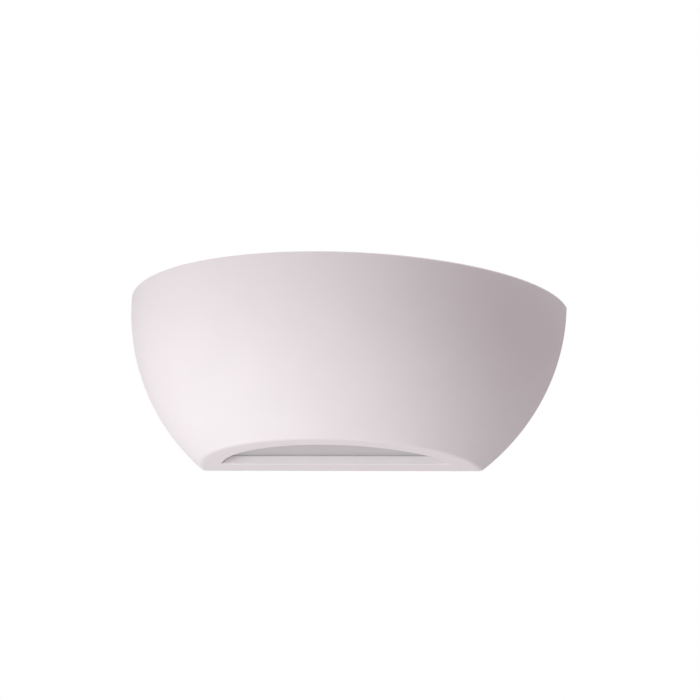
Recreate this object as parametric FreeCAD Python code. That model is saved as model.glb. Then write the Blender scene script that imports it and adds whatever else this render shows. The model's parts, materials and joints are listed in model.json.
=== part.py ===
import FreeCAD, Part
import math
import os

# Plaster half-bowl uplighter for a wall, with everything that it holds.
# Millimetres. X runs along the wall to the viewer's right, the room is on the -Y side and Z is up.
# The origin is the centre of the wall bracket's back face, so the wall is the plane Y = 0.

V = FreeCAD.Vector
ORIGIN = V(0, 0, 0)
X_AXIS = V(1, 0, 0)
Y_AXIS = V(0, 1, 0)
Z_AXIS = V(0, 0, 1)
INTO_ROOM = V(0, -1, 0)
FAR = 400.0  # reach of cutting blocks, past every piece

# ---- plaster shell: half of an ellipsoid, cut flat at the rim, at the bottom and at the wall ----
shell_width = 300.0
shell_projection = 137.3
shell_height = 115.2
bottom_width = 192.6  # of the flat bottom's outline, before its edge is rounded
rim_z = 50.0
widest_below_rim = 4.0  # level of the ellipsoid's centre
wall_thickness = 9.0
floor_thickness = 6.0  # plaster round the aperture, the ledge that the glass lies on
shell_wall_gap = 0.3  # the shell's back edge stands this far off the wall plane
bottom_round = 2.5
rim_outer_round = 1.5
rim_inner_round = 3.0

# ---- aperture in the bottom ----
aperture_half_width = 82.0
aperture_projection = 73.0
back_bar_depth = 19.0

# ---- frosted glass and its clips ----
glass_thickness = 3.0
glass_edge_gap = 1.0
glass_bar_overlap = 4.0
clip_x = 45.0
clip_width = 10.0
clip_sheet = 0.8
clip_reach = 4.0  # how far the tongue lies over the glass
clip_foot = 10.0
clip_step_gap = 0.4  # from the glass to the step
clip_hole_radius = 1.7
clip_screw_radius = 1.5
clip_screw_length = 4.0
clip_screw_head_radius = 2.9
clip_screw_head = 1.8

# ---- wall bracket: a shallow pressed tray with a flat ear at each end ----
bracket_sheet = 1.5
tray_half_height = 28.0
tray_depth = 7.0
tray_bend = 2.0
tray_corner = 3.0
ear_half_height = 12.0
wall_screw_from_tray_end = 17.95
wall_screw_z = 20.0
wall_slot_length = 12.0
wall_slot_radius = 2.25
cable_entry_z = -12.0

# ---- hanging: studs on the bracket, keyhole plates on the shell ----
keyhole_edge_gap = 6.0  # from the plate's edge to the bowl's inner wall, at the plate's foot
keyhole_plate_half_width = 13.0
keyhole_plate_above = 16.0
keyhole_plate_below = 26.0
keyhole_plate_sheet = 1.5
keyhole_plate_corner = 3.0
lift_travel = 9.0
stud_neck_radius = 2.0
stud_neck_gap = 0.3
stud_head_radius = 4.0
stud_head_gap = 0.7
stud_head_thickness = 2.0
stud_collar_radius = 3.5
stud_collar = 0.5
stud_tail_radius = 2.5
hanging_gap = 0.3  # along the stud, on each side of the keyhole plate
boss_margin = 3.0  # plaster round the plate
boss_depth = 14.0
boss_round = 3.0
pocket_wall_gap = 1.3
pocket_depth = 4.5
keyhole_screw_inset = 5.0
keyhole_screw_radius = 1.75
keyhole_screw_length = 9.0
keyhole_screw_head_radius = 3.5
countersink_share = 0.8  # of the keyhole plate's sheet, the depth of its screws' flat heads
screw_hole_gap = 0.1
crown_share = 0.5  # of a screw head's height, the bevel round its top
fit_gap = 0.05

# ---- lampholder, on an arm that stands out of the bracket ----
lamp_axis_y = -58.0
lamp_axis_z = -6.0
arm_to_hanger = 10.2  # from the arm's plate to the keyhole plate beside it
tray_beyond_arm = 0.5
holder_radius = 20.0
holder_shoulder_radius = 21.0
holder_shoulder_length = 14.0
holder_length = 46.0
holder_floor = 9.0
holder_bore_radius = 15.0
holder_mouth_round = 1.5
arm_sheet = 1.5
arm_half_height = 14.0
arm_front_beyond_axis = 14.0
arm_foot_length = 20.0
arm_bend = 2.5
arm_rivet_radius = 2.0
arm_rivet_head_radius = 3.6
arm_rivet_head = 1.4
arm_rivet_half_spacing = 8.0
arm_rivet_from_plate = 12.0
holder_screw_half_spacing = 10.0
holder_screw_radius = 2.0
holder_screw_depth = 6.0
holder_screw_head_radius = 3.8
holder_screw_head = 2.4
screw_shell_inner_radius = 13.6
screw_shell_wall = 0.4
screw_shell_length = 23.0
screw_shell_flange_radius = 14.8
contact_width = 7.0
contact_sheet = 0.6
contact_rise = 3.0
contact_half_length = 9.0

# ---- lamp: screw cap, housing and opal globe, turned about the holder's axis ----
tip_gap = 0.3
tip_radius = 4.8
tip_thickness = 1.6
insulator_length = 3.2
insulator_back_radius = 10.6
cap_radius = 13.15
cap_wall = 0.5
cap_length = 22.0
cap_clearance = 0.1
housing_neck_radius = 13.6
housing_length = 39.0
housing_flare_start = 7.0
globe_radius = 30.0
globe_centre_from_cap = 51.0
globe_wall = 1.5

# ---- terminal block on the bracket ----
earth_to_block = 31.0
block_z = -8.0
pole_pitch = 11.0
pole_count = 3
block_half_height = 10.0
block_end_margin = 5.0
dome_radius = 3.0
dome_top = 15.0
dome_half_spacing = 5.0
wire_axis_height = 6.0
insert_outer_radius = 2.3
insert_inner_radius = 1.6
insert_inset = 3.0
terminal_screw_radius = 1.4
terminal_screw_gap = 0.1  # from a screw's point to the wire under it
terminal_screw_length = 8.0
terminal_well_radius = 1.9
block_screw_radius = 1.25
block_screw_hole_radius = 1.4
block_screw_head_radius = 2.3
block_screw_head = 1.8
block_screw_web = 4.0

# ---- earth point on the bracket ----
earth_from_tray_end = 9.0
earth_z = -13.0
earth_screw_radius = 2.0
earth_head_radius = 3.9
earth_head = 2.4
washer_radius = 4.4
washer_thickness = 0.8
lug_ring_radius = 4.3
lug_sheet = 0.8
lug_barrel_length = 6.0
lug_barrel_radius = 2.0
lug_barrel_start = 7.0

# ---- wires ----
wire_radius = 1.2
wire_bore_gap = 0.3
wire_grip = 7.0  # length of wire inside the lampholder
wire_entry_half_spacing = 5.0
wire_entry_from_back = 4.5
wire_into_block = 4.5
wire_rise = 9.0  # from the block's top to the wire's first bend
neutral_extra_rise = 4.0
wire_shift = 10.0  # along the wall in that bend
wire_climb = 3.0
neutral_extra_shift = 1.0
neutral_extra_climb = 0.5
earth_wire_shift = 9.0
earth_wire_climb = 9.5
earth_wire_bow = 0.8
earth_wire_drop = 5.0  # from its last bend to the lug's barrel
earth_wire_grip = 5.0

# ---- cable grommet ----
grommet_hole_radius = 8.0
grommet_flange_radius = 10.0
grommet_flange = 1.5
grommet_bore_radius = 4.0
grommet_nose = 4.0
grommet_back_gap = 0.2


# ---- worked out from the sizes above ----
bowl_centre_z = rim_z - widest_below_rim
bottom_z = rim_z - shell_height
ledge_z = bottom_z + floor_thickness
bottom_drop = bowl_centre_z - bottom_z
width_ratio = (shell_width / bottom_width) ** 2
bowl_semi_height = math.sqrt((width_ratio * bottom_drop**2 - widest_below_rim**2) / (width_ratio - 1))
rim_ratio = math.sqrt(1 - (widest_below_rim / bowl_semi_height) ** 2)
bowl_semi_x = shell_width / 2 / rim_ratio
bowl_semi_y = shell_projection / rim_ratio
bracket_front = -bracket_sheet
keyhole_back = bracket_front - stud_collar - hanging_gap
keyhole_front = keyhole_back - keyhole_plate_sheet
stud_head_back = keyhole_front - hanging_gap
wire_y = bracket_front - wire_axis_height


def inset_half_width(inset, z):
    """Half width of the bowl at height z, on the surface that lies inset inside the outer one."""
    drop = (z - bowl_centre_z) / (bowl_semi_height - inset)
    return (bowl_semi_x - inset) * math.sqrt(max(1 - drop * drop, 0))


def inset_projection(inset, z):
    """The same surface's reach from the wall at height z."""
    drop = (z - bowl_centre_z) / (bowl_semi_height - inset)
    return (bowl_semi_y - inset) * math.sqrt(max(1 - drop * drop, 0))


# The keyhole plates keep their distance from the bowl's inner wall, and the studs go with them.
plate_foot_z = -keyhole_plate_below
stud_x = inset_half_width(wall_thickness, plate_foot_z) - keyhole_edge_gap - keyhole_plate_half_width

# The lampholder's arm stands beside the left keyhole plate, and the bracket's tray ends just past it.
arm_plate_x = arm_to_hanger + keyhole_plate_half_width - stud_x
holder_back_x = arm_plate_x + arm_sheet
holder_floor_x = holder_back_x + holder_floor
contact_top_x = holder_floor_x + contact_rise
tip_x = contact_top_x + tip_gap
cap_back_x = tip_x + tip_thickness + insulator_length
cap_front_x = cap_back_x + cap_length
tray_half_length = tray_beyond_arm - arm_plate_x
wall_screw_spacing = 2 * (tray_half_length - wall_screw_from_tray_end)
earth_x = tray_half_length - earth_from_tray_end
block_x = earth_x - earth_to_block


def box(x0, x1, y0, y1, z0, z1):
    size = (abs(x1 - x0), abs(y1 - y0), abs(z1 - z0))
    return Part.makeBox(*size, V(min(x0, x1), min(y0, y1), min(z0, z1)))


def rod(radius, start, end):
    """Cylinder from one point to another."""
    along = end - start
    return Part.makeCylinder(radius, along.Length, start, along)


def tube(outer, inner, start, end):
    return rod(outer, start, end).cut(rod(inner, start, end))


def stadium(x, z_low, z_high, radius, y0, y1):
    """Upright slot-shaped block: two round ends at z_low and z_high, from y0 to y1."""
    low_end = rod(radius, V(x, y0, z_low), V(x, y1, z_low))
    high_end = rod(radius, V(x, y0, z_high), V(x, y1, z_high))
    return fuse([low_end, box(x - radius, x + radius, y0, y1, z_low, z_high), high_end])


def fuse(solids):
    whole = solids[0].multiFuse(solids[1:]) if len(solids) > 1 else solids[0]
    return whole.removeSplitter()


def cut_all(solid, tools):
    for tool in tools:
        solid = solid.cut(tool)
    return solid


def polygon_prism(points, along):
    wire = Part.makePolygon(points + [points[0]])
    return Part.Face(wire).extrude(along)


def edges_where(solid, test):
    """Edges whose bounding box passes the test."""
    return [edge for edge in solid.Edges if test(edge.BoundBox)]


def flat_at(value, low, high, tolerance=0.01):
    return abs(low - value) < tolerance and abs(high - value) < tolerance


def lamp_point(x, radius):
    """Point of a turned outline, at a radius above the lamp's axis."""
    return V(x, lamp_axis_y, lamp_axis_z + radius)


def lamp_turned(outline):
    """Turn a closed outline of (x, radius) points about the lamp's axis."""
    points = [lamp_point(x, radius) for x, radius in outline]
    wire = Part.makePolygon(points + [points[0]])
    return Part.Face(wire).revolve(V(0, lamp_axis_y, lamp_axis_z), X_AXIS, 360)


def lamp_arc_edge(x0, r0, x1, r1, x2, r2):
    return Part.Arc(lamp_point(x0, r0), lamp_point(x1, r1), lamp_point(x2, r2)).toShape()


def ellipsoid(inset):
    """The bowl's full surface, inset by a wall. Its seam is turned to the wall side."""
    ball = Part.makeSphere(1.0)
    ball.rotate(ORIGIN, Z_AXIS, 90)
    stretch = FreeCAD.Matrix()
    stretch.scale(bowl_semi_x - inset, bowl_semi_y - inset, bowl_semi_height - inset)
    body = ball.transformGeometry(stretch)
    body.translate(V(0, 0, bowl_centre_z))
    return body


def half_ellipse_prism(half_width, projection, back_y, z0, z1):
    """D-shaped block: the half ellipse on the room side, cut straight at back_y."""
    along_x = half_width >= projection
    long_point = V(half_width, 0, z0) if along_x else V(0, -projection, z0)
    short_point = V(0, projection, z0) if along_x else V(half_width, 0, z0)
    ring = Part.Ellipse(long_point, short_point, V(0, 0, z0)).toShape()
    block = Part.Face(Part.Wire(ring)).extrude(V(0, 0, z1 - z0))
    return block.common(box(-FAR, FAR, -FAR, back_y, z0, z1))


def keyhole_sides():
    return (-stud_x, stud_x)


def boss(x):
    """Thick plaster at an inner back corner, which carries a keyhole plate."""
    side = 1 if x > 0 else -1
    inner_x = x - side * (keyhole_plate_half_width + boss_margin)
    low = plate_foot_z - boss_margin
    high = keyhole_plate_above + boss_margin
    block = box(inner_x, side * FAR, keyhole_front, keyhole_front - boss_depth, low, high)
    front_corner = edges_where(
        block,
        lambda b: flat_at(inner_x, b.XMin, b.XMax) and flat_at(keyhole_front - boss_depth, b.YMin, b.YMax),
    )
    return block.makeFillet(boss_round, front_corner)


def boss_hollows(x):
    """Room for the stud's head behind the keyhole, and the plate's two screw holes."""
    radius = stud_head_radius + pocket_wall_gap
    tools = [stadium(x, -lift_travel, 0, radius, keyhole_front, keyhole_front - pocket_depth)]
    for z in keyhole_screw_levels():
        start = V(x, keyhole_front, z)
        depth = keyhole_screw_length - keyhole_plate_sheet + 1.0
        tools.append(rod(keyhole_screw_radius + fit_gap, start, start + INTO_ROOM * depth))
    return tools


def keyhole_screw_levels():
    return (keyhole_plate_above - keyhole_screw_inset, plate_foot_z + keyhole_screw_inset)


def clip_screw_y():
    return -(back_bar_depth - glass_bar_overlap) / 2


def plaster_shell():
    outer = ellipsoid(0).common(box(-FAR, FAR, -shell_wall_gap, -FAR, bottom_z, rim_z))
    hollow = ellipsoid(wall_thickness).common(box(-FAR, FAR, FAR, -FAR, ledge_z, FAR))
    shell = outer.cut(hollow)
    shell = shell.makeFillet(rim_outer_round, rim_edges(shell, 0))
    shell = shell.makeFillet(rim_inner_round, rim_edges(shell, wall_thickness))
    shell = shell.makeFillet(bottom_round, bottom_front_edges(shell))
    for x in keyhole_sides():
        shell = shell.fuse(boss(x).common(outer))
    shell = shell.removeSplitter()
    shell = cut_all(shell, boss_hollows(-stud_x) + boss_hollows(stud_x))
    aperture = half_ellipse_prism(
        aperture_half_width, aperture_projection, -back_bar_depth, bottom_z - 1, ledge_z + 1
    )
    shell = shell.cut(aperture)
    for x in (-clip_x, clip_x):
        top = V(x, clip_screw_y(), ledge_z)
        pilot = rod(clip_screw_radius + fit_gap, top, top - Z_AXIS * (clip_screw_length + 0.3))
        shell = shell.cut(pilot)
    return shell


def rim_edges(shell, inset):
    reach = inset_half_width(inset, rim_z)
    return edges_where(
        shell,
        lambda b: flat_at(rim_z, b.ZMin, b.ZMax) and abs(b.XMax - reach) < 1.0 and b.YLength > reach / 2,
    )


def bottom_front_edges(shell):
    return edges_where(
        shell,
        lambda b: flat_at(bottom_z, b.ZMin, b.ZMax) and b.YLength > shell_projection / 3,
    )


def glass_diffuser():
    half_width = inset_half_width(wall_thickness, ledge_z) - glass_edge_gap
    projection = inset_projection(wall_thickness, ledge_z) - glass_edge_gap
    back_y = -back_bar_depth + glass_bar_overlap
    return half_ellipse_prism(half_width, projection, back_y, ledge_z, ledge_z + glass_thickness)


def diffuser_clips():
    """Two stepped strips, screwed to the back bar, whose tongues hold the glass down."""
    glass_back = -back_bar_depth + glass_bar_overlap
    glass_top = ledge_z + glass_thickness
    step_y = glass_back + clip_step_gap
    clips = []
    for x in (-clip_x, clip_x):
        left = x - clip_width / 2
        right = x + clip_width / 2
        tongue_end = glass_back - clip_reach
        riser_back = step_y + clip_sheet
        foot = box(left, right, step_y, step_y + clip_foot, ledge_z, ledge_z + clip_sheet)
        riser = box(left, right, step_y, riser_back, ledge_z, glass_top + clip_sheet)
        tongue = box(left, right, tongue_end, riser_back, glass_top, glass_top + clip_sheet)
        start = V(x, clip_screw_y(), ledge_z)
        hole = rod(clip_hole_radius, start, start + Z_AXIS * clip_sheet)
        clips.append(fuse([foot, riser, tongue]).cut(hole))
    return Part.makeCompound(clips)


def pan_screw(seat, into, shank_radius, shank_length, head_radius, head_height):
    """Screw with a bevelled head: seat is the head's underside, into is the way the shank points."""
    shank = rod(shank_radius, seat, seat + into * shank_length)
    head = rod(head_radius, seat, seat - into * head_height)
    top = seat - into * head_height
    crown = [edge for edge in head.Edges if (edge.BoundBox.Center - top).Length < 0.01]
    return shank.fuse(head.makeChamfer(head_height * crown_share, crown)).removeSplitter()


def diffuser_clip_screws():
    screws = []
    for x in (-clip_x, clip_x):
        seat = V(x, clip_screw_y(), ledge_z + clip_sheet)
        length = clip_screw_length + clip_sheet
        screws.append(
            pan_screw(seat, -Z_AXIS, clip_screw_radius, length, clip_screw_head_radius, clip_screw_head)
        )
    return Part.makeCompound(screws)


def keyhole_plate(x):
    plate = box(
        x - keyhole_plate_half_width,
        x + keyhole_plate_half_width,
        keyhole_back,
        keyhole_front,
        plate_foot_z,
        keyhole_plate_above,
    )
    corners = edges_where(plate, lambda b: b.XLength < 0.01 and b.ZLength < 0.01)
    plate = plate.makeFillet(keyhole_plate_corner, corners)
    slot = stadium(x, -lift_travel, 0, stud_neck_radius + stud_neck_gap, keyhole_back, keyhole_front)
    low = V(x, keyhole_back, -lift_travel)
    entry = rod(stud_head_radius + stud_head_gap, low, low + INTO_ROOM * keyhole_plate_sheet)
    plate = cut_all(plate, [slot, entry])
    for z in keyhole_screw_levels():
        plate = plate.cut(countersunk_hole(V(x, keyhole_back, z)))
    return plate


def countersunk_hole(seat):
    """Screw hole with a conical seat that is wider towards the wall."""
    deep = seat + INTO_ROOM * keyhole_plate_sheet
    shank = rod(keyhole_screw_radius + screw_hole_gap, seat, deep)
    depth = keyhole_plate_sheet * countersink_share
    cone = Part.makeCone(
        keyhole_screw_head_radius, keyhole_screw_radius + screw_hole_gap, depth, seat, INTO_ROOM
    )
    return shank.fuse(cone)


def hanger_plates():
    return Part.makeCompound([keyhole_plate(x) for x in keyhole_sides()])


def hanger_plate_screws():
    """Countersunk screws, their heads flush in the keyhole plates."""
    screws = []
    head_depth = keyhole_plate_sheet * countersink_share
    for x in keyhole_sides():
        for z in keyhole_screw_levels():
            seat = V(x, keyhole_back - fit_gap, z)
            head = Part.makeCone(
                keyhole_screw_head_radius - screw_hole_gap, keyhole_screw_radius, head_depth, seat, INTO_ROOM
            )
            shank = rod(keyhole_screw_radius, seat, seat + INTO_ROOM * keyhole_screw_length)
            screws.append(head.fuse(shank).removeSplitter())
    return Part.makeCompound(screws)


def tray():
    """Middle of the bracket: a sheet with its long edges folded forwards."""
    outer = box(-tray_half_length, tray_half_length, 0, -tray_depth, -tray_half_height, tray_half_height)
    folds = edges_where(outer, lambda b: flat_at(0, b.YMin, b.YMax) and b.ZLength < 0.01)
    outer = outer.makeFillet(tray_bend, folds)
    inner_half = tray_half_height - bracket_sheet
    inner = box(-FAR, FAR, bracket_front, -FAR, -inner_half, inner_half)
    folds = edges_where(inner, lambda b: flat_at(bracket_front, b.YMin, b.YMax) and b.ZLength < 0.01)
    inner = inner.makeFillet(tray_bend - bracket_sheet, folds)
    sheet = outer.cut(inner)
    corners = edges_where(
        sheet,
        lambda b: flat_at(-tray_depth, b.YMin, b.YMax) and b.XLength < 0.01 and b.YLength < 0.01,
    )
    return sheet.makeFillet(tray_corner, corners)


def wall_bracket():
    ears = box(-stud_x, stud_x, 0, bracket_front, -ear_half_height, ear_half_height)
    parts = [tray(), ears]
    for x in keyhole_sides():
        parts.append(rod(ear_half_height, V(x, 0, 0), V(x, bracket_front, 0)))
    sheet = fuse(parts)
    return cut_all(sheet, bracket_holes())


def bracket_hole(x, z, radius):
    return rod(radius, V(x, 1, z), V(x, bracket_front - 1, z))


def wall_slot(x):
    half = wall_slot_length / 2 - wall_slot_radius
    ends = [bracket_hole(x + shift, wall_screw_z, wall_slot_radius) for shift in (-half, half)]
    low = wall_screw_z - wall_slot_radius
    high = wall_screw_z + wall_slot_radius
    middle = box(x - half, x + half, 1, bracket_front - 1, low, high)
    return fuse([ends[0], middle, ends[1]])


def arm_rivet_places():
    x = arm_plate_x + arm_rivet_from_plate
    return [(x, lamp_axis_z - arm_rivet_half_spacing), (x, lamp_axis_z + arm_rivet_half_spacing)]


def block_screw_places():
    """Between the poles of the terminal block."""
    first = block_x - (pole_count - 2) * pole_pitch / 2
    return [(first + i * pole_pitch, block_z) for i in range(pole_count - 1)]


def bracket_holes():
    holes = [wall_slot(-wall_screw_spacing / 2), wall_slot(wall_screw_spacing / 2)]
    holes += [bracket_hole(x, 0, stud_tail_radius + fit_gap) for x in keyhole_sides()]
    holes += [bracket_hole(x, z, arm_rivet_radius + fit_gap) for x, z in arm_rivet_places()]
    holes += [bracket_hole(x, z, block_screw_radius + fit_gap) for x, z in block_screw_places()]
    holes.append(bracket_hole(earth_x, earth_z, earth_screw_radius + fit_gap))
    holes.append(bracket_hole(0, cable_entry_z, grommet_hole_radius))
    return holes


def hanging_studs():
    """Shoulder studs: tail riveted in the ear, collar, neck for the keyhole, wide head."""
    studs = []
    for x in keyhole_sides():
        tail = rod(stud_tail_radius, V(x, -fit_gap, 0), V(x, bracket_front, 0))
        collar_end = bracket_front - stud_collar
        collar = rod(stud_collar_radius, V(x, bracket_front, 0), V(x, collar_end, 0))
        neck = rod(stud_neck_radius, V(x, collar_end, 0), V(x, stud_head_back, 0))
        head_front = stud_head_back - stud_head_thickness
        head = rod(stud_head_radius, V(x, stud_head_back, 0), V(x, head_front, 0))
        crown = edges_where(head, lambda b: flat_at(head_front, b.YMin, b.YMax))
        studs.append(fuse([tail, collar, neck, head.makeChamfer(0.6, crown)]))
    return Part.makeCompound(studs)


def cable_grommet():
    """Rubber bush: a barrel in the bracket's hole, a flange on its front and a soft nose."""
    z = cable_entry_z
    barrel = rod(grommet_hole_radius - fit_gap, V(0, -grommet_back_gap, z), V(0, bracket_front, z))
    flange_front = bracket_front - grommet_flange
    flange = rod(grommet_flange_radius, V(0, bracket_front, z), V(0, flange_front, z))
    nose_front = flange_front - grommet_nose
    nose = Part.makeCone(
        grommet_bore_radius + 3.0, grommet_bore_radius + 1.2, grommet_nose, V(0, flange_front, z), INTO_ROOM
    )
    bore = rod(grommet_bore_radius, V(0, 1, z), V(0, nose_front - 1, z))
    return fuse([barrel, flange, nose]).cut(bore)


def lampholder_arm():
    """Bent strip: a foot on the bracket and a plate that stands out to the lampholder."""
    low = lamp_axis_z - arm_half_height
    high = lamp_axis_z + arm_half_height
    front_y = lamp_axis_y - arm_front_beyond_axis
    block = box(arm_plate_x, arm_plate_x + arm_foot_length, bracket_front, front_y, low, high)
    outer_bend = edges_where(
        block, lambda b: flat_at(arm_plate_x, b.XMin, b.XMax) and flat_at(bracket_front, b.YMin, b.YMax)
    )
    block = block.makeFillet(arm_bend, outer_bend)
    hollow = box(arm_plate_x + arm_sheet, FAR, bracket_front - arm_sheet, -FAR, -FAR, FAR)
    inner_bend = edges_where(
        hollow,
        lambda b: flat_at(arm_plate_x + arm_sheet, b.XMin, b.XMax)
        and flat_at(bracket_front - arm_sheet, b.YMin, b.YMax),
    )
    strip = block.cut(hollow.makeFillet(arm_bend - arm_sheet, inner_bend))
    nose = edges_where(strip, lambda b: flat_at(front_y, b.YMin, b.YMax) and b.ZLength < 0.01)
    strip = strip.makeFillet(arm_half_height * 0.6, nose)
    foot_end = arm_plate_x + arm_foot_length
    foot_corners = edges_where(strip, lambda b: flat_at(foot_end, b.XMin, b.XMax) and b.ZLength < 0.01)
    strip = strip.makeFillet(tray_corner, foot_corners)
    for z in holder_screw_levels():
        start = V(arm_plate_x - 1, lamp_axis_y, z)
        strip = strip.cut(rod(holder_screw_radius + screw_hole_gap, start, start + X_AXIS * (arm_sheet + 2)))
    for x, z in arm_rivet_places():
        strip = strip.cut(bracket_hole(x, z, arm_rivet_radius + fit_gap).translated(V(0, -arm_sheet, 0)))
    return strip


def holder_screw_levels():
    return (lamp_axis_z - holder_screw_half_spacing, lamp_axis_z + holder_screw_half_spacing)


def arm_rivets():
    rivets = []
    for x, z in arm_rivet_places():
        seat = V(x, bracket_front - arm_sheet, z)
        length = bracket_sheet + arm_sheet - fit_gap
        rivets.append(
            pan_screw(seat, Y_AXIS, arm_rivet_radius, length, arm_rivet_head_radius, arm_rivet_head)
        )
    return Part.makeCompound(rivets)


def lampholder_body():
    """Porcelain holder: a wide back shoulder, a slightly narrower skirt and a blind bore."""
    back = holder_back_x
    front = back + holder_length
    shoulder_end = back + holder_shoulder_length
    outline = [
        (back, 0),
        (back, holder_shoulder_radius - 1.0),
        (back + 1.0, holder_shoulder_radius),
        (shoulder_end, holder_shoulder_radius),
        (shoulder_end + 1.0, holder_radius),
        (front - holder_mouth_round, holder_radius),
        (front, holder_radius - holder_mouth_round),
        (front, holder_bore_radius + holder_mouth_round),
        (front - holder_mouth_round, holder_bore_radius),
        (holder_floor_x, holder_bore_radius),
        (holder_floor_x, 0),
    ]
    body = lamp_turned(outline)
    for z in holder_screw_levels():
        start = V(back, lamp_axis_y, z)
        hole = rod(holder_screw_radius + fit_gap, start, start + X_AXIS * (holder_screw_depth + 0.5))
        body = body.cut(hole)
    for z in wire_entry_levels():
        body = body.cut(wire_entry(z))
    return body


def wire_entry_levels():
    return (lamp_axis_z - wire_entry_half_spacing, lamp_axis_z + wire_entry_half_spacing)


def holder_side_y(z):
    """Where the holder's shoulder faces the wall at height z."""
    rise = z - lamp_axis_z
    return lamp_axis_y + math.sqrt(holder_shoulder_radius**2 - rise * rise)


def wire_entry(z):
    x = holder_back_x + wire_entry_from_back
    deep = holder_side_y(z) - wire_grip - 0.5
    return rod(wire_radius + wire_bore_gap, V(x, lamp_axis_y + holder_shoulder_radius + 1, z), V(x, deep, z))


def lampholder_screws():
    screws = []
    for z in holder_screw_levels():
        seat = V(arm_plate_x, lamp_axis_y, z)
        length = arm_sheet + holder_screw_depth
        screws.append(
            pan_screw(seat, X_AXIS, holder_screw_radius, length, holder_screw_head_radius, holder_screw_head)
        )
    return Part.makeCompound(screws)


def lampholder_screw_shell():
    """Thin plated shell that takes the lamp's thread, with a flange on the porcelain floor."""
    inner = screw_shell_inner_radius
    outer = inner + screw_shell_wall
    floor = holder_floor_x
    outline = [
        (floor, inner - 1.2),
        (floor, screw_shell_flange_radius),
        (floor + screw_shell_wall, screw_shell_flange_radius),
        (floor + screw_shell_wall, outer),
        (floor + screw_shell_length, outer),
        (floor + screw_shell_length, inner),
        (floor + screw_shell_wall, inner),
        (floor + screw_shell_wall, inner - 1.2),
    ]
    return lamp_turned(outline)


def lampholder_contact():
    """Sprung brass tongue on the floor of the holder, which presses on the lamp's tip."""
    half = contact_width / 2
    sheet = contact_sheet
    base = holder_floor_x
    top = contact_top_x
    foot = lamp_axis_z - contact_half_length
    crest = lamp_axis_z
    outline = [
        (base, foot),
        (base + sheet, foot),
        (base + sheet, foot + 3.0),
        (top, crest - 2.0),
        (top, crest + 2.0),
        (base + sheet + 0.8, crest + contact_half_length - 2.0),
        (base + 0.8, crest + contact_half_length - 2.0),
        (top - sheet, crest + 2.0 - sheet / 2),
        (top - sheet, crest - 2.0 + sheet / 2),
        (base, foot + 3.0 + sheet / 2),
    ]
    points = [V(x, lamp_axis_y - half, z) for x, z in outline]
    return polygon_prism(points, V(0, contact_width, 0))


def lamp_tip_contact():
    """Solder button at the lamp's end."""
    outline = [
        (tip_x, 0),
        (tip_x, tip_radius - 1.4),
        (tip_x + 0.5, tip_radius - 0.4),
        (tip_x + tip_thickness, tip_radius),
        (tip_x + tip_thickness, 0),
    ]
    return lamp_turned(outline)


def lamp_insulator():
    """Black glass ring between the tip and the cap."""
    back = tip_x + tip_thickness
    outline = [
        (back, 0),
        (back, tip_radius + 0.6),
        (cap_back_x, insulator_back_radius),
        (cap_back_x, 0),
    ]
    return lamp_turned(outline)


def lamp_cap():
    """Thin screw cap, open towards the housing."""
    shoulder = cap_back_x + 1.6
    inner = cap_radius - cap_wall
    outline = [
        (cap_back_x, 0),
        (cap_back_x, insulator_back_radius),
        (shoulder, cap_radius),
        (cap_front_x, cap_radius),
        (cap_front_x, inner),
        (shoulder + cap_wall, inner),
        (cap_back_x + cap_wall, insulator_back_radius - 0.4),
        (cap_back_x + cap_wall, 0),
    ]
    return lamp_turned(outline)


def globe_joint_radius():
    """Radius of the globe where the housing ends."""
    offset = globe_centre_from_cap - housing_length
    return math.sqrt(globe_radius**2 - offset**2)


def lamp_housing():
    """Lamp body: a plug in the cap, a short neck and a flare up to the globe."""
    plug_back = cap_back_x + 1.6 + cap_wall + cap_clearance
    plug_radius = cap_radius - cap_wall - cap_clearance
    neck_end = cap_front_x + housing_flare_start
    flare_end = cap_front_x + housing_length
    end_radius = globe_joint_radius() - 0.5
    middle_x = (neck_end + flare_end) / 2 - 1.0
    middle_radius = (housing_neck_radius + end_radius) / 2 + 1.0
    corners = [
        (flare_end, end_radius),
        (flare_end, 0),
        (plug_back, 0),
        (plug_back, plug_radius),
        (cap_front_x, plug_radius),
        (cap_front_x, housing_neck_radius),
        (neck_end, housing_neck_radius),
    ]
    points = [lamp_point(x, r) for x, r in corners]
    edges = [Part.LineSegment(a, b).toShape() for a, b in zip(points, points[1:])]
    edges.append(lamp_arc_edge(neck_end, housing_neck_radius, middle_x, middle_radius, flare_end, end_radius))
    face = Part.Face(Part.Wire(edges))
    return face.revolve(V(0, lamp_axis_y, lamp_axis_z), X_AXIS, 360)


def lamp_globe():
    """Opal globe: a thin ball, open where it meets the housing."""
    centre = cap_front_x + globe_centre_from_cap
    start = cap_front_x + housing_length
    inner = globe_radius - globe_wall
    offset = globe_centre_from_cap - housing_length
    outer_joint = globe_joint_radius()
    inner_joint = math.sqrt(inner**2 - offset**2)
    lean = math.sqrt(0.5)
    edges = [
        lamp_arc_edge(
            start, outer_joint, centre + globe_radius * lean, globe_radius * lean, centre + globe_radius, 0
        ),
        Part.LineSegment(lamp_point(centre + globe_radius, 0), lamp_point(centre + inner, 0)).toShape(),
        lamp_arc_edge(centre + inner, 0, centre + inner * lean, inner * lean, start, inner_joint),
        Part.LineSegment(lamp_point(start, inner_joint), lamp_point(start, outer_joint)).toShape(),
    ]
    face = Part.Face(Part.Wire(edges))
    return face.revolve(V(0, lamp_axis_y, lamp_axis_z), X_AXIS, 360)


def pole_xs():
    first = block_x - (pole_count - 1) * pole_pitch / 2
    return [first + i * pole_pitch for i in range(pole_count)]


def dome_levels():
    return (block_z - dome_half_spacing, block_z + dome_half_spacing)


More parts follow.
